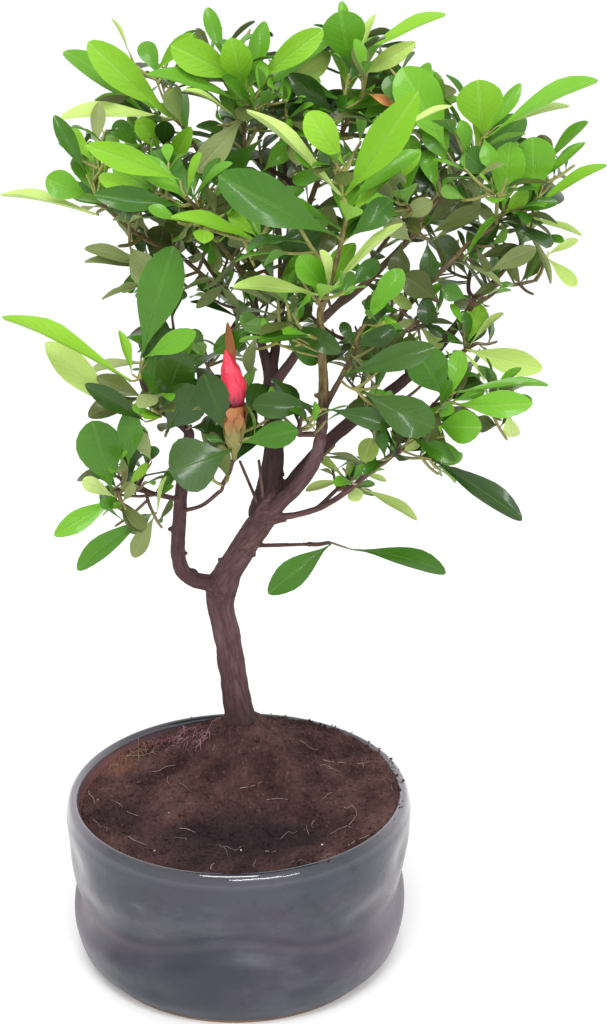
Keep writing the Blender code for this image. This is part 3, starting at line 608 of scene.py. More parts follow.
def scatter_maker():
    """Geometry Nodes that scatter small things over a surface, each turned and sized by chance."""
    tree, inputs, entry = maker_tree(
        "scatter over a surface", Surface="Geometry", Things="Collection", Finish="Material",
        Spacing="Float", Density="Float", Smallest="Float", Largest="Float", Seed="Int")
    points = add_node(tree, "GeometryNodeDistributePointsOnFaces", {"distribute_method": "POISSON"}, {
        "Mesh": entry["Surface"], "Distance Min": entry["Spacing"], "Density Max": entry["Density"],
        "Seed": entry["Seed"]})
    turn = add_node(tree, "FunctionNodeRandomValue", {"data_type": "FLOAT_VECTOR"}, {
        0: (0.0, 0.0, 0.0), 1: (math.tau, math.tau, math.tau), "Seed": entry["Seed"]})
    size = add_node(tree, "FunctionNodeRandomValue", {"data_type": "FLOAT"}, {
        2: entry["Smallest"], 3: entry["Largest"], "Seed": entry["Seed"]}, output=1)
    place_things(tree, entry, {"Points": points, "Rotation": turn, "Scale": size})
    return tree, inputs


def result_of(thing):
    """What an object's modifiers make, as a plain mesh."""
    return bpy.data.meshes.new_from_object(thing.evaluated_get(bpy.context.evaluated_depsgraph_get()))


def made_by_nodes(name, mesh, maker, values):
    """Plain mesh that a node group makes from a mesh, as an object."""
    tree, inputs = maker
    thing = add_object(name, mesh)
    modifier = thing.modifiers.new("making", "NODES")
    modifier.node_group = tree
    for label, value in values.items():
        modifier[inputs[label]] = value
    made = result_of(thing)
    thing.modifiers.clear()
    thing.data = made
    return thing


def kept_aside(name, things):
    """Collection outside the scene, for the shapes that node groups place."""
    aside = bpy.data.collections.new(name)
    for thing in things:
        aside.objects.link(thing)
    return aside


top_count = 1 + SOIL_RINGS * SOIL_SIDES
top_faces = [face for face in rings_to_faces(SOIL_RINGS, SOIL_SIDES) if max(face) < top_count]
soil_top = bpy.data.meshes.new("soil top")
soil_top.from_pydata([Vector(point) * MM for point in soil_points[:top_count]], [], top_faces)
lumps = kept_aside("lumps", [lump(f"lump {number}", number) for number in range(4)])
scatter = scatter_maker()
perlite = Finish("perlite", Roughness=0.8)
perlite_grain = perlite.noise(perlite.place(), 900.0)
perlite.give(Base_Color=perlite.mix(perlite_grain, (0.55, 0.50, 0.45), (0.85, 0.82, 0.78)))

Litter = namedtuple("Litter", "name finish spacing density smallest largest seed")
for litter in (
    Litter("soil_crumbs", peat, 1.2, 800000.0, 0.35, 1.5, 4),
    Litter("soil_clods", peat, 4.2, 45000.0, 1.4, 3.2, 12),
    Litter("perlite_specks", perlite, 15.0, 1600.0, 0.5, 1.2, 9),
):
    scattered = made_by_nodes(litter.name, soil_top.copy(), scatter, {
        "Things": lumps, "Finish": litter.finish.material, "Spacing": litter.spacing * MM,
        "Density": litter.density, "Smallest": litter.smallest * MM, "Largest": litter.largest * MM,
        "Seed": litter.seed})
    finish_piece(scattered, "potting_soil")


def tube(path, radii, sides, heading=None):
    """Closed tube round a path, as its points and its triangles. A heading squares its first end."""
    points = []
    faces = []
    last = len(path) - 1
    across = (path[1] - path[0]).orthogonal()
    for k, (centre, radius) in enumerate(zip(path, radii)):
        along = (path[min(k + 1, last)] - path[max(k - 1, 0)]).normalized()
        if heading and k == 0:
            along = heading
        across = (across - across.project(along)).normalized()
        other = along.cross(across)
        for side in range(sides):
            turn = 2 * math.pi * side / sides
            points.append(centre + (across * math.cos(turn) + other * math.sin(turn)) * radius)
    for k in range(last):
        for side in range(sides):
            a = k * sides + side
            b = k * sides + (side + 1) % sides
            faces += [(a, b, b + sides), (a, b + sides, a + sides)]
    top = last * sides
    for side in range(1, sides - 1):
        faces.append((0, side + 1, side))
        faces.append((top, top + side, top + side + 1))
    return points, faces


def merged(shapes):
    """Points and faces of many shapes, as one shape."""
    points = []
    faces = []
    for shape_points, shape_faces in shapes:
        start = len(points)
        points += shape_points
        faces += [tuple(start + corner_number for corner_number in face) for face in shape_faces]
    return points, faces


def joined(name, shapes):
    """One object from many shapes."""
    return mesh_piece(name, *merged(shapes))


def stray_root(rng, x, y, length, radius, lift, curl=0.28):
    """Thin dry root that lies on the soil in loose bends and pokes up at places."""
    heading = rng.uniform(0, math.tau)
    bend = rng.uniform(-0.8, 0.8) * curl
    knots = []
    for step in range(ROOT_STEPS + 1):
        poke = lift * math.sin(math.pi * step / ROOT_STEPS) * rng.uniform(0.2, 1.0)
        height = rough_soil_height(x, y) + radius + poke
        knots.append((x, y, height))
        heading += bend + rng.uniform(-curl, curl)
        x += math.cos(heading) * length / ROOT_STEPS
        y += math.sin(heading) * length / ROOT_STEPS
        if math.hypot(x, y) > soil_wall - 1.5:
            heading += math.pi / 2
            x *= 0.94
            y *= 0.94
    path = curve_through(knots, 3)
    return tube(path, [radius * (1 - 0.6 * k / len(path)) for k in range(len(path))], 4)


def on_soil(x, y):
    """Place on the soil that shows at a pixel of the view."""
    step = (seen_at(x, y, 0.0) - EYE) / SIGHT_STEPS
    count = (SOIL_CEILING - EYE.z) / step.z
    while (EYE + step * count).z > rough_soil_height(*(EYE + step * count).xy):
        count += 0.5
    return EYE + step * count


# Straws and pale bits that show on the soil: the pixels of both ends, and whether they stand up.
STRAWS = [
    (139, 762, 139, 738, True), (119, 757, 154, 753, False), (196, 742, 210, 730, False),
    (213, 750, 214, 744, True), (88, 791, 95, 805, False), (111, 800, 138, 817, False),
    (266, 801, 288, 800, False), (322, 800, 332, 794, False), (324, 762, 346, 765, False),
    (328, 767, 337, 769, False), (363, 769, 362, 758, True), (357, 765, 369, 763, False),
    (390, 780, 393, 791, False), (211, 870, 215, 863, False), (254, 867, 255, 859, True),
    (265, 853, 277, 853, False), (308, 836, 307, 825, True), (349, 846, 377, 828, False),
    (100, 760, 118, 752, False), (150, 772, 176, 766, False), (240, 790, 262, 784, False),
    (180, 829, 206, 834, False), (300, 742, 318, 750, False), (128, 838, 146, 846, False),
]

rng = random.Random(31)
pale_roots = []
for x0, y0, x1, y1, standing in STRAWS:
    start = on_soil(x0, y0)
    end = seen_at(x1, y1, start.y) if standing else on_soil(x1, y1)
    knots = []
    for share in (0.0, 0.3, 0.65, 1.0):
        knot = start.lerp(end, share) + Vector((rng.uniform(-0.4, 0.4), rng.uniform(-0.4, 0.4), 0))
        if not standing:
            knot.z = rough_soil_height(knot.x, knot.y) + 0.35
        knots.append(knot)
    pale_roots.append(tube(curve_through(knots, 3), [0.15 - 0.008 * k for k in range(10)], 4))
for number in range(ROOT_COUNT):
    turn = rng.uniform(0, math.tau)
    out = soil_wall * math.sqrt(rng.uniform(0.1, 0.93))
    length = rng.uniform(5, 12)
    place = (out * math.cos(turn), out * math.sin(turn))
    pale_roots.append(stray_root(rng, *place, length, rng.uniform(0.07, 0.12), 1.2))
straw = Finish("dry root", Roughness=0.7)
straw.give(Base_Color=straw.mix(straw.noise(straw.place(), 80.0), (0.14, 0.09, 0.075), (0.46, 0.38, 0.32)))
finish_piece(joined("pale_roots", pale_roots), "potting_soil", material=straw.material)

# The matted red roots lie between two pixels of the view, at the back left.
MAT_START = Vector((94, 765))
MAT_END = Vector((208, 732))
red_roots = []
for number in range(10 * ROOT_COUNT):
    share = rng.random()
    astray = Vector((rng.gauss(0, 4), rng.gauss(0, 4)))
    place = on_soil(*(MAT_START.lerp(MAT_END, share) + astray))
    if math.hypot(place.x, place.y) < soil_wall - 2.5:
        length = rng.uniform(3.5, 10) * (0.6 + 0.4 * share)
        red_roots.append(stray_root(rng, place.x, place.y, length, rng.uniform(0.07, 0.15), 2.4, 0.75))
rust = Finish("reddish root", Roughness=0.75)
rust_x = rust.parts_of(rust.place())[0]
rust_grain = rust.noise(rust.place(), 110.0).above(0.35, 0.65)
orange_root = rust.mix(rust_grain, (0.16, 0.060, 0.032), (0.38, 0.190, 0.110))
pink_root = rust.mix(rust_grain, (0.15, 0.050, 0.058), (0.48, 0.250, 0.280))
rust.give(Base_Color=rust.mix(rust_x.above(-0.042, -0.030), orange_root, pink_root))
finish_piece(joined("reddish_roots", red_roots), "potting_soil", material=rust.material)

# Crumbs that fell on the rim, at the right and the back right, as the pot was filled.
rim_crumbs = []
for number in range(RIM_CRUMBS):
    turn = math.radians(rng.gauss(28, 26))
    size = rng.choice((0.5, 0.7, 0.9, 1.3)) * rng.uniform(0.7, 1.2)
    shift = rng.uniform(-0.95, 0.35)
    place = Vector((math.cos(turn), math.sin(turn), 0)) * (lip_middle + 0.5 * POT_WALL * shift)
    place.z = POT_HEIGHT - POT_LIP + POT_LIP * math.sqrt(1 - shift**2) + 0.2 * size
    shape = lumps.objects[number % 4].data
    turned = Matrix.Rotation(number, 3, UP)
    crumb = [place + turned @ corner_point.co * size for corner_point in shape.vertices]
    rim_crumbs.append((crumb, [tuple(face.vertices) for face in shape.polygons]))
finish_piece(joined("rim_crumbs", rim_crumbs), "potting_soil", material=peat.material)


# The plant is an evergreen azalea, pruned so that short boughs fork from a bent trunk.
# Each limb starts at a share of its parent's length, passes its bends and ends at its
# tip; radii are at the foot and at the tip. The bark is thin, dry and finely ridged.

Limb = namedtuple("Limb", "parent share bends tip foot_radius tip_radius")

LIMBS = {
    "trunk": Limb(None, 0.0, [(-4, 17, 118), (-6, 13, 139), (3, 8, 159)], (12, 3, 174), 5.4, 4.6),
    "centre_leader": Limb("trunk", 0.97, [(14, 6, 195)], (13, 10, 221), 4.7, 2.6),
    "right_bough": Limb("trunk", 0.95, [(33, 6, 199), (65, 7, 226)], (79, 4, 244), 3.0, 1.5),
    "front_bough": Limb("trunk", 0.98, [(27, -12, 195), (31, -34, 223)], (30, -50, 255), 2.9, 1.2),
    "left_bough": Limb("trunk", 0.64, [(-19.6, 9, 148.6), (-20, 2, 171)], (-16, -6, 201), 3.0, 2.1),
    "left_leader": Limb("centre_leader", 0.96, [(7.5, 14, 246)], (6, 11, 268), 1.8, 1.2),
    "right_leader": Limb("centre_leader", 0.99, [(16.5, 18, 244)], (21, 25, 280), 1.9, 1.2),
    "right_upper_bough": Limb("centre_leader", 0.93, [(30, 8, 242), (45, 4, 256)], (60, -3, 273), 1.8, 1.1),
    "right_mid_branch": Limb("right_bough", 0.74, [(57, 4, 243)], (76, -5, 268), 1.3, 0.9),
    "right_end_twig": Limb("right_bough", 0.80, [], (78, -3, 234), 0.9, 0.7),
    "right_low_branch": Limb("right_bough", 0.62, [], (66, -18, 219), 1.1, 0.8),
    "top_branch": Limb("right_leader", 0.62, [], (33, 16, 300), 1.2, 0.9),
    "left_side_branch": Limb("left_leader", 0.45, [], (-15.5, 2, 265), 1.1, 0.8),
    "left_front_branch": Limb("left_leader", 0.72, [], (-3, -16, 274), 1.1, 0.8),
    "front_low_branch": Limb("front_bough", 0.52, [], (24, -40, 216), 1.1, 0.9),
    "front_side_branch": Limb("front_bough", 0.64, [], (40, -44, 243), 1.1, 0.8),
    "bud_branch": Limb("left_bough", 0.62, [(-11, -10, 181)], (-4, -28, 192), 0.75, 0.7),
    "left_low_branch": Limb("left_bough", 0.69, [], (-32, -14, 188), 1.1, 0.8),
    "low_right_branch": Limb("trunk", 0.955, [(32, -10, 181)], (53, -27, 204), 1.3, 0.9),
    "inner_low_twig": Limb("low_right_branch", 0.40, [], (37, -5, 186), 0.8, 0.7),
    "low_twig": Limb("trunk", 0.83, [], (24, -6, 165), 0.9, 0.7),
    "bare_twig_left": Limb("trunk", 0.97, [], (2.4, -6, 196), 0.7, 0.5),
    "bare_twig_right": Limb("trunk", 0.98, [], (9, -5, 196), 0.7, 0.5),
    "back_left_branch": Limb("left_leader", 0.30, [], (-14, 38, 262), 1.1, 0.8),
    "back_branch": Limb("right_leader", 0.40, [], (16, 46, 266), 1.1, 0.8),
    "back_right_branch": Limb("right_upper_bough", 0.50, [], (56, 36, 268), 1.1, 0.8),
    "back_low_branch": Limb("right_bough", 0.50, [], (48, 36, 222), 1.1, 0.8),
    "back_low_left_branch": Limb("centre_leader", 0.55, [], (-8, 32, 216), 1.1, 0.8),
}
FOOT_FLARE = 0.6
FLARE_REACH = 0.13
FORK_SWELLING = 0.9
KNOT_REACH = 0.06
LIMB_SIDES = 6
TRUNK_SIDES = 12


def path_length(path):
    """Length of a path."""
    return sum((b - a).length for a, b in zip(path, path[1:]))


def shares_of(path):
    """Share of the path's length at each of its points."""
    run = [0.0]
    for a, b in zip(path, path[1:]):
        run.append(run[-1] + (b - a).length)
    return [length / run[-1] for length in run]


def place_on(path, share):
    """Point and direction at a share of the path's length."""
    shares = shares_of(path)
    for a, b, low, high in zip(path, path[1:], shares, shares[1:]):
        if share <= high:
            return a.lerp(b, (share - low) / (high - low)), (b - a).normalized()
    return path[-1], (path[-1] - path[-2]).normalized()


def before_end(path, distance):
    """Point on a path at a distance before its end."""
    return place_on(path, 1 - distance / path_length(path))[0]


def limb_path(name, paths):
    """Centre line of a limb, from its place on its parent to its tip."""
    limb = LIMBS[name]
    foot = place_on(paths[limb.parent], limb.share)[0] if limb.parent else FOOT
    spans = 3 if limb.bends else 2
    return curve_through([foot, *limb.bends, limb.tip], spans)


def limb_radii(name, path):
    """Radius at each point of a limb: a taper, and on the trunk its root flare and the knot at its fork."""
    limb = LIMBS[name]
    radii = []
    for share in shares_of(path):
        radius = limb.foot_radius + (limb.tip_radius - limb.foot_radius) * share
        if name == "trunk":
            radius += FOOT_FLARE * math.exp(-((share / FLARE_REACH) ** 2))
            radius += FORK_SWELLING * math.exp(-(((share - LIMBS["left_bough"].share) / KNOT_REACH) ** 2))
        radii.append(radius)
    return radii


def search_tree(shapes):
    """Search tree over many shapes, to find what touches them."""
    return BVHTree.FromPolygons(*merged(shapes))


def point_tree(points):
    """Search tree over some points, to find the nearest."""
    tree = KDTree(len(points))
    for number, point in enumerate(points):
        tree.insert(point, number)
    tree.balance()
    return tree


def limb_tube(name, path):
    """Plain tube of a limb, which leaves and twigs keep clear of. The trunk's foot is cut level."""
    if name == "trunk":
        return tube(path, limb_radii(name, path), TRUNK_SIDES, UP)
    return tube(path, limb_radii(name, path), LIMB_SIDES)


limb_paths = {}
for name in LIMBS:
    limb_paths[name] = limb_path(name, limb_paths)

BARK_STEP = 0.8
BARK_GRAIN = 0.44
BARK_SMOOTHING = 4
COLLAR = 0.28
COLLAR_REACH = 2.2
THIN = 0.85
THICK_LIMB_SIDES = 20
THIN_LIMB_SIDES = 8
STUB_SIDES = 14
Stub = namedtuple("Stub", "limb share out length radius")
STUBS = [
    Stub("trunk", 0.20, (-1, -0.3, 0.1), 0.5, 1.1), Stub("trunk", 0.34, (-1, -0.5, 0.3), 0.5, 1.2),
    Stub("trunk", 0.46, (1, -0.4, 0.2), 0.4, 1.1), Stub("trunk", 0.66, (-0.5, -0.7, 0.9), 1.6, 1.4),
    Stub("trunk", 0.74, (-1, -0.2, 0.5), 1.8, 0.9), Stub("trunk", 0.80, (1, -0.3, -0.1), 1.6, 0.9),
    Stub("trunk", 0.93, (0.9, -0.45, 0.35), 8.0, 0.7), Stub("trunk", 0.97, (-0.9, -0.4, 0.2), 1.2, 1.0),
    Stub("left_bough", 0.17, (0.1, -0.4, 1.0), 1.3, 1.9),
    Stub("left_bough", 0.34, (1, -0.2, 0.5), 1.6, 0.7), Stub("left_bough", 0.50, (-1, -0.2, 0.3), 1.6, 0.8),
    Stub("left_bough", 0.80, (1, -0.3, 0.3), 1.2, 0.8),
    Stub("centre_leader", 0.30, (1, -0.2, 0.4), 1.5, 1.0),
    Stub("centre_leader", 0.62, (-1, 0, 0.5), 1.5, 0.9),
    Stub("right_bough", 0.33, (0.3, -0.4, -1), 1.2, 0.9),
    Stub("right_bough", 0.56, (-0.3, -0.4, 1), 1.2, 0.8),
    Stub("front_bough", 0.36, (1, -0.3, 0.3), 1.3, 0.8),
    Stub("front_bough", 0.70, (-1, -0.3, 0.5), 1.2, 0.7),
]
# How much painted shade darkens the bark of some limbs that stand under and inside the crown. Below zero it
# is young wood with green in it.
LIMB_SHADE_AND_GREEN = {
    "centre_leader": 1.0, "right_leader": 0.7, "left_leader": 0.7, "right_bough": 0.35, "left_bough": 0.45,
    "front_bough": -1.0,
}
Sample = namedtuple("Sample", "place along run radius dark")
FOOT_DARKENING = 16.0
TRUNK_WOOD = 3.4
FOOT_WOOD_TOP = 150.0


def fine_path(path):
    """A path again, as points close together."""
    count = max(6, round(path_length(path) / BARK_STEP))
    smooth = curve_through(path, 6)
    return [place_on(smooth, k / count)[0] for k in range(count + 1)]


def bark_shapes():
    """Thick limbs and their cut stubs as tubes, thin limbs as more, and samples of the lines of both."""
    thick = []
    thin = []
    thick_samples = []
    samples = []
    run = 0.0
    for name, limb in LIMBS.items():
        path = fine_path(limb_paths[name])
        radii = limb_radii(name, path)
        length = path_length(path)
        for k, share in enumerate(shares_of(path)):
            if name != "trunk":
                reach = COLLAR_REACH * limb.foot_radius
                radii[k] *= 1 + COLLAR * math.exp(-((share * length / reach) ** 2))
            radii[k] *= 1 + 0.06 * noise.noise(Vector((run * 0.1, share * length * 0.16, 0)))
        dark = LIMB_SHADE_AND_GREEN.get(name, 0.0)
        own_samples = []
        for k, (a, b) in enumerate(zip(path, path[1:])):
            own_samples.append(Sample(a, (b - a).normalized(), run + length * k / len(path), radii[k], dark))
        samples += own_samples
        if limb.foot_radius < THIN:
            thin.append(tube(path, radii, THIN_LIMB_SIDES))
        else:
            thick.append(tube(path, radii, THICK_LIMB_SIDES))
            thick_samples += own_samples
        run += length + 20
    for stub in STUBS:
        start = place_on(limb_paths[stub.limb], stub.share)[0]
        out = Vector(stub.out).normalized()
        inside = LIMBS[stub.limb].foot_radius * 0.8
        path = [start, start + out * inside, start + out * (inside + stub.length)]
        thick.append(tube(path, [stub.radius * size for size in (1.4, 1.2, 0.8)], STUB_SIDES))
    return thick, thin, thick_samples, samples


def with_bark(mesh, samples, depth):
    """Push a mesh out and in by the bark's ridges, and keep their places, the wood's age and its darkness,
    which holds painted shade.
    """
    lines = point_tree([sample.place for sample in samples])
    places = []
    grain = []
    ages = []
    darks = []
    for vertex in mesh.vertices:
        point = vertex.co / MM
        centre, along, run, radius, dark = samples[lines.find(point)[1]]
        offset = point - centre
        reach = offset.dot(along)
        across = offset - along * reach
        place = across + Vector((0, 0, 0.2 * (run + reach)))
        age = min(1.0, max(0.0, (radius - 0.7) / 1.3))
        ridges = 0.35 - abs(noise.noise(place * 0.75)) + 0.4 * noise.noise(place * 1.7)
        ridges -= 0.5 * abs(noise.noise(place * 3.1))
        swell = 0.5 * noise.noise((across + Vector((0, 0, run + reach))) * 0.16)
        shift = depth * (0.3 + 0.7 * age) * ridges + 0.5 * age * swell
        places.extend(vertex.co + vertex.normal * shift * MM)
        grain.extend(place)
        ages.append(age)
        if radius > TRUNK_WOOD and point.z < FOOT_WOOD_TOP:
            # The trunk grows darker towards the soil at its foot.
            dark += math.exp(-(((point.z - SOIL_TOP) / FOOT_DARKENING) ** 2))
            # Painted shade: the trunk's left side is darkened, in flecks.
            shade_flecks = 0.5 + 1.6 * noise.noise(place * 0.5)
            dark += max(0.0, min(1.0, shade_flecks)) * max(0.0, -offset.x / radius - 0.55) * 1.8
        darks.append(min(1.0, dark))
    mesh.vertices.foreach_set("co", places)
    mesh.attributes.new("bark", "FLOAT_VECTOR", "POINT").data.foreach_set("vector", grain)
    mesh.attributes.new("age", "FLOAT", "POINT").data.foreach_set("value", ages)
    mesh.attributes.new("dark", "FLOAT", "POINT").data.foreach_set("value", darks)


thick_wood, thin_wood, thick_lines, wood_lines = bark_shapes()
trunk_maker = joined("wood", thick_wood)
fusing = trunk_maker.modifiers.new("fusing", "REMESH")
fusing.mode = "VOXEL"
fusing.voxel_size = BARK_GRAIN * MM
softening = trunk_maker.modifiers.new("softening", "SMOOTH")
softening.factor = 0.5
softening.iterations = BARK_SMOOTHING
trunk_mesh = result_of(trunk_maker)
bpy.data.objects.remove(trunk_maker)
with_bark(trunk_mesh, thick_lines, 0.26)
trunk_mesh.shade_smooth()
trunk = add_object("bark", trunk_mesh)
thin_limbs = joined("thin_limbs", thin_wood)
with_bark(thin_limbs.data, wood_lines, 0.12)

bark = Finish("bark", Roughness=0.85, Specular_IOR_Level=0.3)
bark_lines = bark.attribute("bark", "Vector")
bark_dark = bark.attribute("dark")
wood_height = bark.parts_of(bark.place())[2]
ridged = bark.noise(bark_lines, 0.9, 5.0, 0.6)
on_ridge = ridged.above(0.3, 0.7)
old_wood = bark.mix(on_ridge, (0.074, 0.033, 0.038), (0.132, 0.069, 0.073))
young_wood = bark.mix(on_ridge, (0.060, 0.026, 0.024), (0.140, 0.075, 0.065))
green_wood = bark.mix(on_ridge, (0.090, 0.060, 0.022), (0.230, 0.180, 0.065))
wood_colour = bark.layered(
    young_wood,
    (wood_height.above(0.215, 0.255), green_wood),
    (bark.attribute("age"), old_wood),
    ((0 - bark_dark).above(0.0, 1.0) * wood_height.above(0.212, 0.238), green_wood),
    (bark.noise(bark_lines, 0.22).above(0.52, 0.68) * 0.35, (0.21, 0.135, 0.130)),
    # The darkness: painted shade on the limbs under and inside the crown and on the trunk's left side, and
    # the trunk's foot darker towards the soil.
    (bark_dark * 0.72, (0.030, 0.014, 0.013)),
)
bark_relief = bark.noise(bark_lines, 2.2, 6.0, 0.65) + 0.6 * ridged
bark.give(Base_Color=wood_colour, Normal=bark.bump(bark_relief, 0.0005, 0.6))
thin_names = [name for name, limb in LIMBS.items() if limb.foot_radius < THIN]
thick_names = [name for name in LIMBS if name not in thin_names]
finish_piece(trunk, "bark", *thick_names, material=bark.material)
finish_piece(thin_limbs, "bark", *thin_names, material=bark.material)


# Twigs grow on from the tip of each limb: a stem, then shoots, and below the shoots'
# ends short side shoots. They are brown and woody at the stem and green at the tips.
# A shoot or a leaf that would touch what has grown before is turned and tried again.

# A mass grows from its limb's tip. Shoots lists where its named shoots end, leaf is the
# length of a full leaf, leaves how many stand in a whorl, and side how many short side
# shoots it has.
Mass = namedtuple("Mass", "limb shoots leaf leaves side")
Leaf = namedtuple("Leaf", "root tip face width tint")

MASSES = {
    "front_crown": Mass("front_bough", [(38, -62, 292), (30, -56, 266)], 33, 8, 1),
    "left_front_foliage": Mass("left_front_branch", [(-12, -40, 293), (-8, -14, 284)], 32, 8, 1),
    "left_side_foliage": Mass("left_side_branch", [(-43, -12, 288), (-32, 18, 262)], 31, 8, 1),
    "left_crown": Mass("left_leader", [(5, 5, 314), (-17, 10, 310)], 33, 8, 1),
    "top_foliage": Mass("top_branch", [(39, 10, 322), (60, 28, 309)], 32, 8, 1),
    "back_crown": Mass("right_leader", [(20, 36, 315), (2, 34, 300)], 32, 8, 1),
    "right_upper_foliage": Mass("right_upper_bough", [(81, -12, 304), (57, -10, 288)], 33, 8, 1),
    "right_middle_foliage": Mass("right_mid_branch", [(92, -10, 286)], 30, 8, 1),
    "right_outer_foliage": Mass("right_bough", [(100, 0, 274), (84, 26, 258)], 25, 8, 1),
    "right_end_foliage": Mass("right_end_twig", [(84, -5, 238)], 22, 6, 0),
    "right_low_foliage": Mass("right_low_branch", [(72, -30, 226)], 27, 8, 0),
    "right_drop_foliage": Mass("low_right_branch", [(57, -32, 209)], 25, 6, 0),
    "inner_low_foliage": Mass("inner_low_twig", [(41, -4, 189)], 19, 6, 0),
    "low_twig_foliage": Mass("low_twig", [(34, -12, 168)], 20, 2, 0),
    "front_low_foliage": Mass("front_low_branch", [(24, -46, 224)], 30, 8, 0),
    "front_side_foliage": Mass("front_side_branch", [(45, -50, 256)], 22, 6, 0),
    "bud_foliage": Mass("bud_branch", [(2, -42, 209)], 27, 8, 0),
    "left_low_crown": Mass("left_bough", [(-29, -30, 232), (-17, -10, 230)], 29, 8, 1),
    "left_hanging_foliage": Mass("left_low_branch", [(-40, -22, 191), (-29, -8, 198)], 23, 5, 0),
    "back_left_foliage": Mass("back_left_branch", [(-34, 50, 280), (-8, 62, 290)], 28, 8, 1),
    "back_foliage": Mass("back_branch", [(14, 70, 282), (34, 62, 304)], 28, 8, 1),
    "back_right_foliage": Mass("back_right_branch", [(64, 60, 284), (90, 40, 294)], 28, 8, 1),
    "back_low_foliage": Mass("back_low_branch", [(54, 54, 238), (26, 50, 236)], 27, 8, 0),
    "back_low_left_foliage": Mass("back_low_left_branch", [(-24, 42, 232), (4, 52, 240)], 27, 8, 0),
}
GAP = 0.3
STEM_SIDES = 5
TWIG_SIDES = 3
TWIG_RADIUS = 0.85
TWIG_TAPER = 0.25
TWIG_SPANS = 1
STEM_SHARE = 0.35
STEM_FIT = 0.96
STEM_TAPER = 0.15
FORK_LAP = 1.5
SHOOT_BOW = 2.0
SHOOT_SAG = -0.06
SIDE_SHOOT = (14.0, 21.0)
SIDE_SHOOT_FOOT = (0.25, 0.7)
SIDE_SHOOT_RADIUS = 0.9
SIDE_LEAF = 0.88
SIDE_LEAVES_FEWER = 2
MARGIN = 0.35
TRIES = 10
GROWTH_SEED = 14
FIRST_TURNS = 5
BUD_MASS = "bud_foliage"
BUD_STALK = 17.5
BUD_LENGTH = 21.0
BUD_RADIUS = 4.3
BUD_SIDES = 8
BUD_PROFILE = ((0.0, 0.6), (0.2, 0.95), (0.4, 1.0), (0.65, 0.8), (0.87, 0.42), (1.0, 0.12))
LEAF_THICKNESS = 0.022
LEAF_ARCH = 0.06
LEAF_FOLD = 0.16
LEAF_WIDEST = 0.52
LEAF_TIP_WIDTH = 0.42


def leaf_blade(leaf, margin=0.0, stalk=0.0):
    """Closed blade of a leaf: a point at the root, its widest place with a keel below, and a blunt tip.

    A test adds a margin all round, and leaves out a share of the length at the stalk.
    """
    length = (leaf.tip - leaf.root).length
    along = (leaf.tip - leaf.root) / length
    side = along.cross(leaf.face)
    half = 0.5 * leaf.width + margin
    bow = 4 * LEAF_WIDEST * (1 - LEAF_WIDEST) * LEAF_ARCH * length
    middle = leaf.root.lerp(leaf.tip, LEAF_WIDEST) + leaf.face * bow
    edge = middle + leaf.face * (LEAF_FOLD * half + margin)
    keel = middle - leaf.face * (LEAF_THICKNESS * length + margin)
    blunt = side * half * LEAF_TIP_WIDTH
    tip = leaf.tip + along * margin
    root = leaf.root.lerp(leaf.tip, stalk)
    points = [root, edge - side * half, edge + side * half, keel, tip - blunt, tip + blunt]
    faces = [(0, 1, 2), (0, 2, 3), (0, 3, 1), (1, 4, 5), (1, 5, 2), (3, 2, 5), (3, 5, 4), (3, 4, 1)]
    return points, faces


def is_clear(shape, tree):
    """True where a shape touches nothing in the tree."""
    return not BVHTree.FromPolygons(*shape).overlap(tree)


def twig(start, end, bow, radius):
    """Path and radii of a twig that bows between its ends."""
    path = curve_through([start, start.lerp(end, 0.5) + bow, end], TWIG_SPANS)
    radii = [radius * (1 - TWIG_TAPER * share) for share in shares_of(path)]
    return path, radii


def chance(name, stage):
    """Random numbers for one stage of a mass's growth, the same each time."""
    return random.Random(f"{name} {stage} {GROWTH_SEED}")


def random_across(rng, axis, low, high):
    """Chance vector square to an axis, with a length between two sizes."""
    across = axis.orthogonal().normalized()
    turned = Matrix.Rotation(rng.uniform(0, 2 * math.pi), 3, axis) @ across
    return turned * rng.uniform(low, high)


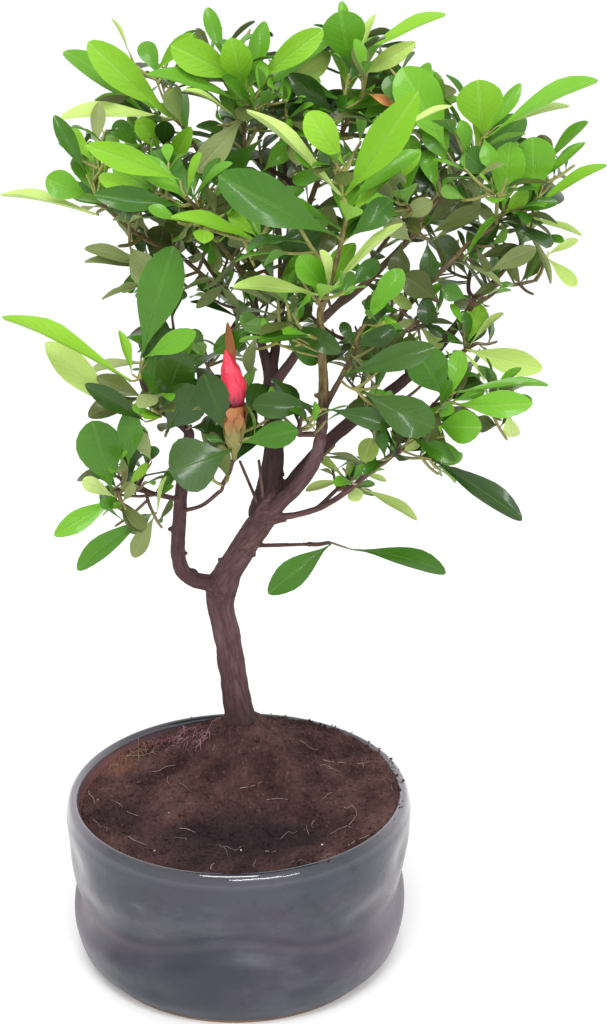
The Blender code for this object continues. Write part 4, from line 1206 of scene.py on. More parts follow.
def grow_twigs(name, tree):
    """Stem and shoots of a mass. Returns their paths and radii, and the shoots that end in a whorl."""
    mass = MASSES[name]
    rng = chance(name, "twigs")
    tip, heading = place_on(limb_paths[mass.limb], 1.0)
    start = tip + heading * GAP
    ends = [Vector(end) for end in mass.shoots]
    middle = sum(ends, Vector()) / len(ends)
    fork = start + (middle - start) * STEM_SHARE
    stem_path = curve_through([start, start + heading * (fork - start).length * 0.5, fork], 2)
    stem_radius = LIMBS[mass.limb].tip_radius * STEM_FIT
    stem_radii = [stem_radius * (1 - STEM_TAPER * share) for share in shares_of(stem_path)]
    twigs = [(stem_path, stem_radii, STEM_SIDES)]
    shoots = []
    inside = fork - (stem_path[-1] - stem_path[-2]).normalized() * FORK_LAP
    for end in ends:
        for attempt in range(TRIES):
            axis = (end - inside).normalized()
            bow = random_across(rng, axis, 0.0, SHOOT_BOW + attempt) + UP * SHOOT_SAG * (end - inside).length
            path, radii = twig(inside, end, bow, TWIG_RADIUS)
            tested = tube(path[1:], [radius + MARGIN for radius in radii[1:]], TWIG_SIDES)
            if is_clear(tested, tree):
                twigs.append((path, radii, TWIG_SIDES))
                shoots.append((path, mass.leaf, mass.leaves))
                break
    named = list(shoots)
    for number in range(mass.side if named else 0):
        parent = named[number % len(named)][0]
        for attempt in range(TRIES):
            foot, along = place_on(parent, rng.uniform(*SIDE_SHOOT_FOOT))
            outward = random_across(rng, along, 1.0, 1.0) + along * 0.7 + UP * 0.25
            end = foot + outward.normalized() * rng.uniform(*SIDE_SHOOT)
            path, radii = twig(foot, end, -UP, TWIG_RADIUS * SIDE_SHOOT_RADIUS)
            tested = tube(path, [radius + MARGIN for radius in radii], TWIG_SIDES)
            if is_clear(tested, tree):
                twigs.append((path, radii, TWIG_SIDES))
                shoots.append((path, mass.leaf * SIDE_LEAF, mass.leaves - SIDE_LEAVES_FEWER))
                break
    return twigs, shoots


def bud_room():
    """Where the flower bud stands, so that nothing grows through it."""
    foot = Vector(MASSES[BUD_MASS].shoots[0]) + UP * (BUD_STALK - 1)
    body = [foot + UP * BUD_LENGTH * share for share, _ in BUD_PROFILE]
    return tube(body, [BUD_RADIUS * size for _, size in BUD_PROFILE], BUD_SIDES)


limb_shapes = {name: limb_tube(name, path) for name, path in limb_paths.items()}
twig_lines = {}
twigs = {}
shoots = {}
leaves = {}


def outside(name):
    """Search tree over the limbs and all that the other masses hold so far."""
    shapes = [*limb_shapes.values(), bud_room()]
    shapes += [shape for other, grown in twigs.items() if other != name for shape in grown]
    shapes += [leaf_blade(leaf) for other, grown in leaves.items() if other != name for leaf in grown]
    return search_tree(shapes)


for name in MASSES:
    twig_lines[name], shoots[name] = grow_twigs(name, outside(name))
    twigs[name] = [tube(*parts) for parts in twig_lines[name]]


# Leaves are leathery ovals with a pale midrib, a little folded along it, in whorls at
# the shoots' ends. The youngest are lime green and stand inside the whorl, the oldest
# are deep green and glossy. One more leaf stands below a whorl, where it has room.

LEAF_WIDTH = 0.40
GOLDEN_TURN = math.radians(137.5)
WHORL_OPEN = math.radians(82.0)
WHORL_CLOSE = math.radians(30.0)
WHORL_DEPTH = 6.0
ROOT_SUNK = 1.06
SHOOT_LEAVES = (0.6,)
SHOOT_LEAF_RISE = math.radians(68.0)
SHOOT_LEAF_SHARE = 0.85
STALK_SHARE = 0.1
INNER_SHORTER = 0.4
LENGTH_SPREAD = (0.85, 1.1)
WIDTH_SPREAD = (0.88, 1.12)

# Room that the whorls' leaves keep to, as round spaces: middle and half sizes.
LOBES = {
    "main crown": ((24, 0, 286), (90, 82, 60)),
    "low left": ((-32, -22, 214), (34, 40, 46)),
    "low middle": ((20, -42, 228), (38, 30, 26)),
    "low right": ((66, -24, 216), (44, 42, 28)),
    "lowest": ((44, -14, 186), (24, 22, 20)),
    "low back": ((18, 46, 236), (66, 40, 30)),
}

# Where one sees the sky through the crown from the front: X and Z at its middle, and
# the radius. No leaf of a whorl crosses the line of sight there, from a fixed viewpoint.
SIGHT_FROM = Vector((25.0, -560.0, 372.0))
OPENINGS = {
    "over the left fork": (-4, 173, 11),
    "under the low right branch": (42, 172, 9),
    "right of the low branches": (62, 186, 7),
    "beside the tall left leaf": (-8, 246, 7),
    "left of the tall left leaf": (-48, 245, 8),
    "under the left side leaves": (-68, 266, 13),
    "inside the right boughs": (40, 245, 5),
    "under the right upper leaves": (60, 247, 5),
    "over the right end leaves": (100, 244, 9),
    "over the hanging leaves": (-30, 191, 4),
    "left of the low leaves": (-66, 209, 9),
    "under the low right leaves": (98, 176, 16),
    "left of the top": (-62, 324, 10),
    "between the two tops": (22, 349, 8),
    "right of the top": (86, 338, 13),
}

# Tints of a mass's whorls, from the youngest leaves to the oldest, where they aren't usual.
WHORL_TINTS = {
    "front_crown": "lime lime fresh mid",
    "left_side_foliage": "lime fresh mid sage",
    "left_crown": "pale lime fresh mid",
    "top_foliage": "lime lime fresh mid",
    "back_crown": "fresh mid mid deep",
    "right_outer_foliage": "pale fresh mid deep",
    "right_low_foliage": "fresh fresh mid deep",
    "right_drop_foliage": "mid mid deep deep",
    "front_low_foliage": "mid deep deep deep",
    "front_side_foliage": "fresh mid deep deep",
    "bud_foliage": "mid deep deep deep",
    "left_hanging_foliage": "fresh mid mid deep",
}
USUAL_TINTS = "lime fresh mid deep"

# Sprays of leaves as they show from the front: the pixel where a spray's leaves meet
# and its depth, then for each leaf the pixel of its tip, how far that is behind the
# spray's depth, its width as a share of its length, its tint and its own root if it
# has one. They stand in front of all the rest.
Seen = namedtuple("Seen", "x y depth leaves")

SPRAYS = [
    Seen(174, 119, 8, [
        (88, 42, -4, 0.30, "lime"), (64, 49, 14, 0.22, "fresh", 150, 118),
        (117, 88, 12, 0.75, "deep", 157, 118), (60, 115, -10, 0.13, "pale"),
        (114, 122, 12, 0.5, "fresh", 142, 150), (138, 118, -6, 0.55, "lime", 162, 152),
        (166, 121, -10, 0.8, "deep", 163, 147), (191, 127, -12, 0.42, "lime", 167, 166),
        (142, 41, 8, 0.5, "fresh", 160, 78), (112, 18, -2, 0.06, "pale", 129, 52),
        (192, 33, -4, 0.26, "lime", 154, 74)]),
    Seen(247, 105, 2, [
        (172, 46, -8, 0.44, "lime", 243, 82), (231, 40, -14, 0.62, "lime", 243, 92),
        (207, 7, 4, 0.30, "fresh", 225, 62), (265, 21, 4, 0.33, "fresh", 248, 84),
        (323, 30, -2, 0.30, "lime", 252, 84), (331, 39, 10, 0.2, "fresh", 250, 98),
        (331, 52, 16, 0.36, "pale", 272, 94), (196, 28, 8, 0.32, "olive", 213, 52),
        (147, 73, -12, 0.15, "fresh", 240, 101), (185, 88, -16, 0.06, "pale", 234, 116),
        (283, 99, 12, 0.85, "deep", 290, 126), (196, 172, -6, 0.36, "sage", 246, 114),
        (212, 182, 6, 0.46, "mid", 262, 140), (292, 142, 4, 0.5, "fresh", 262, 172),
        (302, 138, 12, 0.35, "deep", 262, 124)]),
    Seen(350, 82, 10, [
        (340, 11, -6, 0.78, "fresh", 351, 68), (341, 1, 4, 0.3, "fresh", 350, 36),
        (375, 14, 2, 0.2, "pale", 360, 52), (446, 13, 0, 0.14, "lime", 361, 54),
        (416, 42, -4, 0.27, "pale", 354, 78), (397, 98, -8, 0.2, "fresh", 338, 111),
        (289, 74, -8, 0.42, "deep", 334, 113), (385, 102, 4, 0.4, "fresh", 358, 123),
        (301, 92, 0, 0.4, "fresh", 334, 114)]),
    Seen(341, 108, -4, [
        (374, 92, 6, 0.26, "fresh"), (396, 104, 1, 0.34, "rusty", 366, 93)]),
    Seen(343, 197, -60, [
        (418, 92, -14, 0.31, "lime"), (308, 112, -4, 0.50, "lime", 345, 166), (247, 108, 6, 0.07, "pale"),
        (419, 150, 2, 0.22, "fresh", 346, 205), (219, 176, -10, 0.37, "mid", 337, 236),
        (292, 182, 16, 0.36, "fresh", 334, 170), (392, 200, 4, 0.48, "mid", 348, 238),
        (324, 206, 10, 0.45, "olive", 341, 228), (452, 105, 4, 0.1, "pale", 398, 130)]),
    Seen(328, 293, -56, [
        (232, 286, -4, 0.17, "pale", 321, 295), (299, 256, -8, 0.6, "fresh"), (322, 251, -14, 0.2, "pale"),
        (402, 222, -4, 0.07, "pale"), (379, 260, 8, 0.42, "mid", 346, 290),
        (402, 270, -2, 0.46, "fresh", 368, 312)]),
    Seen(263, 243, -44, [
        (171, 216, -8, 0.15, "lime"), (228, 211, 4, 0.36, "lime", 259, 238), (276, 214, 6, 0.1, "sage"),
        (246, 204, 8, 0.3, "fresh")]),
    Seen(97, 212, -12, [
        (46, 178, -4, 0.60, "fresh", 91, 198), (0, 193, 2, 0.08, "pale", 99, 215),
        (54, 115, 6, 0.28, "mid", 86, 174), (66, 127, 12, 0.42, "lime", 94, 163),
        (99, 102, 14, 0.34, "sage", 95, 148), (90, 140, 8, 0.3, "fresh", 94, 196)]),
    Seen(183, 206, -38, [
        (86, 145, -10, 0.28, "lime", 180, 180), (94, 195, -6, 0.29, "mid"),
        (98, 176, 8, 0.3, "lime", 152, 196), (112, 168, 12, 0.34, "fresh", 158, 192)]),
    Seen(152, 270, 0, [
        (85, 247, -4, 0.2, "sage"), (84, 261, -8, 0.14, "sage"), (101, 299, -4, 0.1, "sage", 149, 284),
        (115, 291, 2, 0.2, "sage", 150, 283), (138, 226, 2, 0.42, "deep", 142, 262),
        (163, 225, 4, 0.64, "olive", 153, 272), (214, 279, -4, 0.15, "sage", 179, 291),
        (126, 223, 8, 0.2, "sage", 144, 223)]),
    Seen(205, 250, 4, [
        (243, 202, -4, 0.58, "olive", 196, 214), (240, 250, -4, 0.6, "deep", 206, 246),
        (188, 262, 0, 0.3, "sage", 212, 250), (196, 308, -4, 0.28, "sage", 229, 282),
        (190, 301, 2, 0.13, "deep", 240, 318), (238, 307, -4, 0.3, "sage", 219, 283),
        (184, 240, 6, 0.3, "deep", 200, 262), (262, 262, 0, 0.3, "olive", 232, 270)]),
    Seen(290, 262, 4, [
        (275, 244, -4, 0.6, "deep", 300, 262), (296, 222, 0, 0.8, "deep", 316, 262),
        (330, 232, 0, 0.6, "olive", 318, 262), (243, 275, 2, 0.5, "olive", 270, 282),
        (284, 309, -2, 0.25, "sage", 260, 325)]),
    Seen(483, 137, -12, [
        (478, 80, -8, 0.84, "lime"), (446, 74, 4, 0.14, "mid", 472, 108),
        (521, 83, 4, 0.28, "fresh", 490, 130), (597, 77, -2, 0.15, "fresh", 488, 137),
        (570, 105, 6, 0.11, "pale", 496, 127), (492, 167, -8, 0.6, "fresh", 484, 137),
        (402, 68, 0, 0.5, "fresh", 447, 152), (433, 69, 8, 0.35, "fresh", 415, 92),
        (388, 76, 6, 0.6, "mid", 402, 110), (430, 124, 4, 0.62, "fresh", 448, 165),
        (461, 121, -4, 0.5, "fresh", 470, 152), (464, 151, -10, 0.8, "mid", 491, 177),
        (504, 164, -14, 0.2, "sage", 474, 179), (424, 150, 6, 0.42, "fresh", 437, 192),
        (420, 149, 2, 0.3, "lime", 396, 186)]),
    Seen(533, 207, -8, [
        (511, 142, -6, 0.5, "fresh", 503, 212), (533, 137, -4, 0.72, "fresh", 537, 197),
        (587, 120, 2, 0.2, "fresh", 545, 166), (585, 142, 0, 0.2, "fresh", 543, 179),
        (607, 164, -4, 0.14, "lime", 533, 207), (527, 191, -8, 0.5, "lime", 504, 215)]),
    Seen(522, 218, 0, [
        (583, 235, 2, 0.09, "pale"), (498, 229, 2, 0.25, "sage"), (552, 284, -6, 0.06, "sage", 524, 223)]),
    Seen(545, 256, 0, [
        (578, 239, 2, 0.26, "pale"), (577, 286, 2, 0.32, "pale"), (536, 248, -6, 0.36, "sage", 486, 273)]),
    Seen(412, 232, -4, [
        (432, 202, -6, 0.52, "sage", 398, 216), (471, 191, 2, 0.5, "olive", 424, 226),
        (426, 167, 4, 0.7, "deep", 423, 197), (385, 221, -2, 0.6, "sage", 412, 242),
        (398, 276, -4, 0.7, "olive", 401, 243), (480, 207, -4, 0.3, "olive", 428, 235),
        (478, 216, -2, 0.2, "sage", 431, 241), (430, 280, -4, 0.5, "deep", 427, 240),
        (446, 273, 2, 0.1, "olive", 425, 226)]),
    Seen(465, 258, -4, [
        (499, 220, -4, 0.34, "deep", 468, 257), (500, 213, -10, 0.1, "fresh", 463, 260),
        (458, 230, 2, 0.2, "deep", 466, 254), (520, 246, 0, 0.25, "olive", 474, 259),
        (504, 286, 0, 0.12, "sage", 458, 262), (495, 285, 4, 0.4, "olive", 471, 296),
        (462, 180, 6, 0.5, "sage", 480, 225)]),
    Seen(440, 302, -4, [
        (404, 276, -6, 0.7, "olive", 438, 300), (427, 325, -6, 0.55, "deep", 426, 288),
        (443, 289, 0, 0.7, "mid", 468, 299), (412, 309, 4, 0.3, "pale", 381, 287),
        (445, 336, -4, 0.4, "deep", 421, 322), (418, 322, 0, 0.3, "sage", 387, 327)]),
    Seen(463, 349, -4, [
        (543, 369, -2, 0.34, "pale", 465, 349), (485, 381, -2, 0.12, "pale", 463, 351),
        (503, 312, 0, 0.17, "pale", 470, 345), (481, 304, 4, 0.5, "lime", 466, 346),
        (462, 311, 2, 0.5, "mid", 468, 343), (443, 348, 6, 0.4, "pale", 418, 326)]),
    Seen(450, 402, -30, [
        (533, 403, -10, 0.37, "fresh", 456, 404), (480, 427, -14, 0.78, "fresh", 436, 424),
        (417, 350, -2, 0.72, "mid", 448, 399), (460, 350, 6, 0.42, "fresh", 452, 398),
        (464, 373, 8, 0.4, "olive", 456, 399), (549, 384, -4, 0.09, "fresh", 456, 392),
        (485, 391, 2, 0.3, "fresh"), (513, 439, 8, 0.6, "pale", 508, 410)]),
    Seen(394, 455, -30, [
        (523, 520, -12, 0.22, "deep", 432, 459), (456, 460, -16, 0.36, "mid", 410, 437),
        (404, 421, 2, 0.34, "olive", 396, 452), (420, 440, 4, 0.5, "pale", 401, 453)]),
    Seen(346, 480, -4, [
        (305, 490, 0, 0.22, "pale"), (418, 520, -4, 0.18, "pale", 362, 488),
        (358, 501, -6, 0.9, "pale", 352, 484), (387, 481, 4, 0.25, "pale", 362, 473),
        (372, 438, 2, 0.6, "pale", 361, 472), (312, 454, 2, 0.22, "pale", 345, 477),
        (350, 461, -2, 0.3, "sage", 346, 478)]),
    Seen(331, 544, -12, [
        (268, 594, -6, 0.36, "mid"), (447, 571, -2, 0.21, "mid", 350, 549)]),
    Seen(322, 409, -44, [
        (253, 405, -4, 0.42, "deep", 319, 407), (393, 424, -4, 0.33, "deep", 327, 409),
        (340, 352, -8, 0.38, "deep", 290, 323), (318, 364, 4, 0.42, "mid", 283, 334),
        (434, 428, -8, 0.5, "deep", 362, 391), (262, 384, 6, 0.6, "deep", 245, 418)]),
    Seen(355, 350, -46, [
        (434, 347, -8, 0.29, "deep", 343, 375), (395, 329, -2, 0.5, "deep", 352, 346),
        (396, 321, -10, 0.12, "lime", 362, 334), (342, 322, 2, 0.5, "deep", 352, 345)]),
    Seen(234, 447, -42, [
        (298, 430, -8, 0.46, "mid", 240, 443), (170, 472, -10, 0.86, "deep", 232, 450),
        (204, 374, -4, 0.5, "deep", 228, 436), (206, 437, 0, 0.4, "mid", 225, 442),
        (268, 385, 6, 0.6, "deep", 246, 420), (213, 352, 10, 0.36, "mid", 262, 324),
        (248, 374, 12, 0.3, "sage", 258, 332)]),
    Seen(140, 372, -30, [
        (2, 315, -6, 0.11, "lime", 131, 381), (45, 342, 8, 0.30, "pale", 120, 413),
        (173, 247, -6, 0.39, "mid", 141, 358), (195, 332, -10, 0.4, "fresh", 144, 358),
        (119, 330, 0, 0.22, "lime", 132, 374), (84, 374, 12, 0.15, "sage", 148, 362),
        (85, 384, -12, 0.3, "deep", 146, 422)]),
    Seen(165, 436, -22, [
        (183, 351, -12, 0.66, "deep", 162, 408), (155, 356, -8, 0.5, "mid", 150, 414),
        (196, 386, -16, 0.8, "deep", 166, 432), (130, 407, -6, 0.44, "mid", 128, 466),
        (136, 431, 2, 0.5, "sage", 152, 462)]),
    Seen(117, 498, -22, [
        (92, 421, -6, 0.62, "mid", 112, 492), (54, 536, -8, 0.3, "fresh"),
        (148, 463, 2, 0.3, "lime", 127, 488), (82, 479, 8, 0.4, "pale"),
        (123, 459, 0, 0.28, "sage", 125, 488)]),
    Seen(153, 513, -20, [
        (76, 569, -8, 0.23, "mid"), (133, 558, 4, 0.38, "sage", 155, 515),
        (166, 476, 0, 0.12, "pale", 157, 513)]),
]

SEEN_WIDTH = 0.26
LEAST_WIDTH = 0.16
ON_WOOD = 1.2
WOOD_STEP = 1.5
REACH_SLOPE = 10.0
BACKSTEPS = (0, 4, -4, 8, -8, 12, -12, 16, -16, 20)


def pixel_of(point):
    """Pixel where a point shows, as a flat vector."""
    ray = point - EYE
    scale = FOCAL / ray.dot(VIEW_AHEAD)
    return Vector((0.5 * FRAME_WIDTH + ray.x * scale, 0.5 * FRAME_HEIGHT - ray.dot(VIEW_UP) * scale, 0))


def leaf_as_seen(root, tip, width, tint):
    """Leaf that shows with a width: it faces the viewer, or where it shows narrow it faces up."""
    sight = (root.lerp(tip, 0.5) - EYE).normalized()
    along = (tip - root).normalized()
    seen_length = ((tip - root) - sight * (tip - root).dot(sight)).length
    least = min(SEEN_WIDTH, max(LEAST_WIDTH, 1.7 * width))
    true_width = max(width * seen_length, least * (tip - root).length)
    turn = math.acos(min(1.0, width * seen_length / true_width))
    towards = (-sight - along * along.dot(-sight)).normalized()
    upward = along.cross(towards)
    if upward.z < 0:
        upward = -upward
    face = towards * math.cos(turn) + upward * math.sin(turn)
    return Leaf(root, tip, face.normalized(), true_width, tint)


def widest_of(leaf):
    """Middle of a leaf at its widest place, and the way from there to its edge."""
    side = (leaf.tip - leaf.root).cross(leaf.face).normalized() * (0.5 * leaf.width)
    return leaf.root.lerp(leaf.tip, LEAF_WIDEST), side


def points_on(paths):
    """Search tree over points close together on some paths."""
    points = []
    for path in paths:
        count = max(2, round(path_length(path) / WOOD_STEP))
        points += [place_on(path, k / count)[0] for k in range(count + 1)]
    return point_tree(points)


def reach_from(wood, end, radius):
    """Twig to a point from the wood just below it, or nothing where the point is on the wood."""
    distance = wood.find(end)[2]
    if distance < ON_WOOD:
        return None
    start = wood.find(end - UP * 0.5 * min(REACH_SLOPE, distance))[0]
    span = (end - start).length
    rng = chance("reach", f"{end.x:.1f} {end.z:.1f}")
    bow = random_across(rng, (end - start).normalized(), 0.0, 0.08 * span)
    return twig(start, end, bow - UP * 0.06 * span, radius)


seen_twigs = []
seen_leaves = []
wood_paths = [*limb_paths.values()] + [line[0] for grown in twig_lines.values() for line in grown]
blocked = list(limb_shapes.values()) + [bud_room()]
for spray in SPRAYS:
    base = seen_at(spray.x, spray.y, spray.depth)
    reach = reach_from(points_on(wood_paths), base, 0.8 * TWIG_RADIUS)
    if reach:
        seen_twigs.append(reach)
        wood_paths.append(reach[0])
    near_wood = points_on(wood_paths)
    for x, y, behind, width, tint, *own_root in spray.leaves:
        root = seen_at(*own_root, spray.depth + 0.3 * behind) if own_root else base
        reach = reach_from(near_wood, root, 0.5 * TWIG_RADIUS)
        if reach:
            seen_twigs.append(reach)
        tip = seen_at(x, y, spray.depth + behind)
        sight = (tip - EYE).normalized()
        tree = search_tree(blocked)
        for step in BACKSTEPS:
            leaf = leaf_as_seen(root, tip + sight * step, width, tint)
            if is_clear(leaf_blade(leaf, 0.1, 0.25), tree):
                break
        else:
            leaf = leaf_as_seen(root, tip, width, tint)
        seen_leaves.append(leaf)
        blocked.append(leaf_blade(leaf, 0.0, 0.15))
twigs["seen"] = [tube(path, radii, TWIG_SIDES) for path, radii in seen_twigs]
leaves["seen"] = seen_leaves

sight_lines = []
outline = []
for leaf in seen_leaves:
    middle, side = widest_of(leaf)
    near_root = leaf.root.lerp(leaf.tip, 0.3)
    sight_lines.append(([EYE, near_root, leaf.tip, middle - side, middle + side], [(0, 1, 2), (0, 3, 4)]))
    outline += [pixel_of(leaf.root.lerp(leaf.tip, k / 7)) for k in range(1, 8)]
bud_base = Vector(MASSES[BUD_MASS].shoots[0])
for shift in (-4.0, 0.0, 4.0):
    low = bud_base + Vector((shift, -4.0, 0.0))
    sight_lines.append(([EYE, low, low + UP * (BUD_STALK + BUD_LENGTH)], [(0, 1, 2)]))
in_front = search_tree(sight_lines)
outline_points = point_tree(outline)
OUTLINE_ROOM = 11.0

# Sky and shade between the leaves in front: the pixel at its middle, and its radius in pixels.
Gap = namedtuple("Gap", "x y radius")
SKY_GAPS = [
    Gap(170, 62, 9), Gap(212, 94, 7), Gap(203, 108, 9), Gap(260, 142, 4), Gap(160, 190, 5),
    Gap(173, 193, 4), Gap(183, 183, 4), Gap(266, 222, 5), Gap(283, 215, 5), Gap(270, 237, 4),
    Gap(320, 196, 8), Gap(337, 200, 4), Gap(352, 250, 4), Gap(275, 277, 5), Gap(240, 275, 5),
    Gap(274, 308, 6), Gap(293, 310, 4), Gap(308, 315, 3), Gap(178, 232, 6), Gap(190, 286, 6),
    Gap(224, 265, 4), Gap(60, 225, 12), Gap(84, 226, 12), Gap(108, 214, 6), Gap(100, 244, 7),
    Gap(122, 274, 8), Gap(128, 300, 8), Gap(186, 312, 8), Gap(205, 318, 6), Gap(238, 296, 5),
    Gap(337, 335, 6), Gap(225, 330, 14), Gap(425, 135, 6), Gap(405, 145, 4), Gap(400, 235, 4),
    Gap(375, 235, 9), Gap(412, 262, 7), Gap(452, 230, 8), Gap(460, 275, 7), Gap(430, 305, 5),
    Gap(300, 375, 14),
]


def behind_front(leaf):
    """True where a leaf hides none of those seen from the front, and stays inside their outline."""
    middle, side = widest_of(leaf)
    for point in (middle - side, middle + side, leaf.tip):
        if outline_points.find(pixel_of(point))[2] > OUTLINE_ROOM:
            return False
    near_root = leaf.root.lerp(leaf.tip, 0.3)
    near_tip = leaf.root.lerp(leaf.tip, 0.85)
    tip_edges = (near_tip - side * 0.7, near_tip + side * 0.7)
    for point in (near_root, middle, middle - side, middle + side, *tip_edges, leaf.tip):
        place = pixel_of(point)
        if any(math.hypot(place.x - gap.x, place.y - gap.y) < gap.radius for gap in SKY_GAPS):
            return False
    return is_clear(leaf_blade(leaf, 0.0, 0.3), in_front)


def leaf_towards(root, tip, axis, width, roll, tint):
    """Leaf between two points, its upper face turned to the shoot it stands on and then rolled."""
    along = (tip - root).normalized()
    face = axis - along * axis.dot(along)
    if face.length < 0.2:
        face = UP - along * UP.dot(along)
    face.normalize()
    return Leaf(root, tip, Matrix.Rotation(roll, 3, along) @ face, width * (tip - root).length, tint)


def in_room(leaf):
    """True where a leaf stays in the crown's room and crosses none of its openings."""
    middle, side = widest_of(leaf)
    for point in (middle - side, middle + side, middle.lerp(leaf.tip, 0.6), leaf.tip):
        for x, z, radius in OPENINGS.values():
            sight = (Vector((x, 0.0, z)) - SIGHT_FROM).normalized()
            if (point - SIGHT_FROM).cross(sight).length < radius:
                return False
    for centre, halves in LOBES.values():
        if sum(((a - b) / half) ** 2 for a, b, half in zip(leaf.tip, centre, halves)) < 1:
            return True
    return False


class Foliage:
    """Leaves of one mass, and the tests that keep each clear of the rest."""

    def __init__(self, outside, twigs, leaves=()):
        self.outside = outside
        self.twigs = twigs
        self.leaves = list(leaves)
        self.inside = self.inner_tree()

    def inner_tree(self):
        """Search tree over the mass's own twigs and blades."""
        return search_tree(self.twigs + [leaf_blade(leaf, 0.0, STALK_SHARE) for leaf in self.leaves])

    def add(self, leaf):
        """Take a leaf that touches nothing, and say whether it was taken."""
        if not is_clear(leaf_blade(leaf, MARGIN), self.outside):
            return False
        if not is_clear(leaf_blade(leaf, 0.1, STALK_SHARE), self.inside):
            return False
        self.leaves.append(leaf)
        self.inside = self.inner_tree()
        return True


def grow_whorls(name):
    """Leaves of a mass: whorls at its shoot ends and leaves below them, placed by the golden angle."""
    tints = WHORL_TINTS.get(name, USUAL_TINTS).split()
    rng = chance(name, "whorls")
    foliage = Foliage(outside(name), twigs[name])
    for shoot in shoots[name]:
        tries = [whorl_on(shoot, rng, foliage, tints) for trial in range(FIRST_TURNS)]
        foliage = max(tries, key=lambda tried: len(tried.leaves))
    return foliage.leaves


def whorl_on(shoot, rng, foliage, tints):
    """The foliage so far with one shoot's whorl added, from a chance first turn."""
    foliage = Foliage(foliage.outside, foliage.twigs, foliage.leaves)
    path, full_length, count = shoot
    axis = (place_on(path, 1.0)[1] + UP * 0.5).normalized()
    across = axis.orthogonal().normalized()
    turn = rng.uniform(0, 2 * math.pi)
    places = []
    for number in range(count):
        share = number / (count - 1)
        rise = WHORL_OPEN + (WHORL_CLOSE - WHORL_OPEN) * share
        root = before_end(path, ROOT_SUNK + WHORL_DEPTH * (1 - share))
        tint = tints[min(3, int(4 * (1 - share)))]
        places.append((root, rise, full_length * (1 - INNER_SHORTER * share), tint))
    for share in SHOOT_LEAVES if count > 2 else ():
        places.append((place_on(path, share)[0], SHOOT_LEAF_RISE, full_length * SHOOT_LEAF_SHARE, tints[3]))
    for root, open_angle, open_length, tint in places:
        turn += GOLDEN_TURN
        for attempt in range(TRIES):
            swing = turn + rng.uniform(-0.1, 0.1) * (1 + attempt)
            rise = open_angle + rng.uniform(-0.15, 0.15)
            length = open_length * rng.uniform(*LENGTH_SPREAD) * (1 - 0.03 * attempt)
            outward = Matrix.Rotation(swing, 3, axis) @ across
            along = axis * math.cos(rise) + outward * math.sin(rise)
            width = LEAF_WIDTH * rng.uniform(*WIDTH_SPREAD)
            leaf = leaf_towards(root, root + along * length, axis, width, rng.uniform(-0.35, 0.35), tint)
            if in_room(leaf) and behind_front(leaf) and foliage.add(leaf):
                break
    return foliage


for name in MASSES:
    leaves[name] = grow_whorls(name)

# Sprigs: short side twigs with a few smaller leaves, on stems, shoots and limbs and on
# the longer twigs of the sprays, which fill the crown inside and behind.
SPRIGS = 7
SPRIG_LENGTH = (7.0, 15.0)
SPRIG_LEAF = (0.55, 0.8)
SPRIG_LEAVES = 6
REACH_WITH_SPRIGS = 9.0
SPRIG_TINTS = "fresh mid mid olive"
GREY_SPRIG_TINTS = "fresh mid sage olive"
REACH_SPRIGS = 6
REACH_LEAF = 30.0
GREY_SPRIGS = (
    "left_side_foliage", "right_outer_foliage", "right_end_foliage", "left_low_crown", "left_hanging_foliage",
)
sprig_lines = []


def add_sprigs(name, carriers, count, leaf_length):
    """Let sprigs grow on the paths that carry them, where a mass has room for them."""
    rng = chance(name, "sprigs")
    tints = (GREY_SPRIG_TINTS if name in GREY_SPRIGS else SPRIG_TINTS).split()
    foliage = Foliage(outside(name), twigs[name], leaves[name])
    for number in range(count):
        foot, along = place_on(carriers[number % len(carriers)], rng.uniform(0.35, 0.95))
        outward = random_across(rng, along, 1.0, 1.0) + along * 0.5 + UP * 0.3
        end = foot + outward.normalized() * rng.uniform(*SPRIG_LENGTH)
        path, radii = twig(foot, end, -UP * 0.6, TWIG_RADIUS * 0.7)
        tested = tube(path[1:], radii[1:], TWIG_SIDES)
        if is_clear(tested, foliage.outside) and is_clear(tested, foliage.inside):
            shoot = (path, leaf_length * rng.uniform(*SPRIG_LEAF), SPRIG_LEAVES)
            grown = whorl_on(shoot, rng, foliage, tints)
            if len(grown.leaves) > len(foliage.leaves) + 1:
                grown.twigs = grown.twigs + [tube(path, radii, TWIG_SIDES)]
                grown.inside = grown.inner_tree()
                foliage = grown
                sprig_lines.append((path, radii))
    twigs[name] = foliage.twigs
    leaves[name] = foliage.leaves


for name, mass in MASSES.items():
    carriers = [line[0] for line in twig_lines[name]] + [limb_paths[mass.limb]]
    add_sprigs(name, carriers, SPRIGS * len(mass.shoots), mass.leaf)
twigs["reaches"] = []
leaves["reaches"] = []
long_reaches = [path for path, _ in seen_twigs if path_length(path) > REACH_WITH_SPRIGS]
add_sprigs("reaches", long_reaches, REACH_SPRIGS * len(long_reaches), REACH_LEAF)


# The stems and shoots themselves: old stems are rough and brown as the boughs are, and
# shoots are smooth, each a little uneven and thinner at its end.

stems = []
green_shoots = []


def as_drawn(path, radii, sides):
    """Smooth tube of a twig, thinner at its end."""
    line = curve_through(path, 7)
    thickness = [radii[0] + (radii[-1] - radii[0]) * share for share in shares_of(line)]
    thickness = [size * (1 + 0.10 * noise.noise(point * 0.45)) for size, point in zip(thickness, line)]
    thickness[-1] *= 0.6
    return tube(line, thickness, sides)


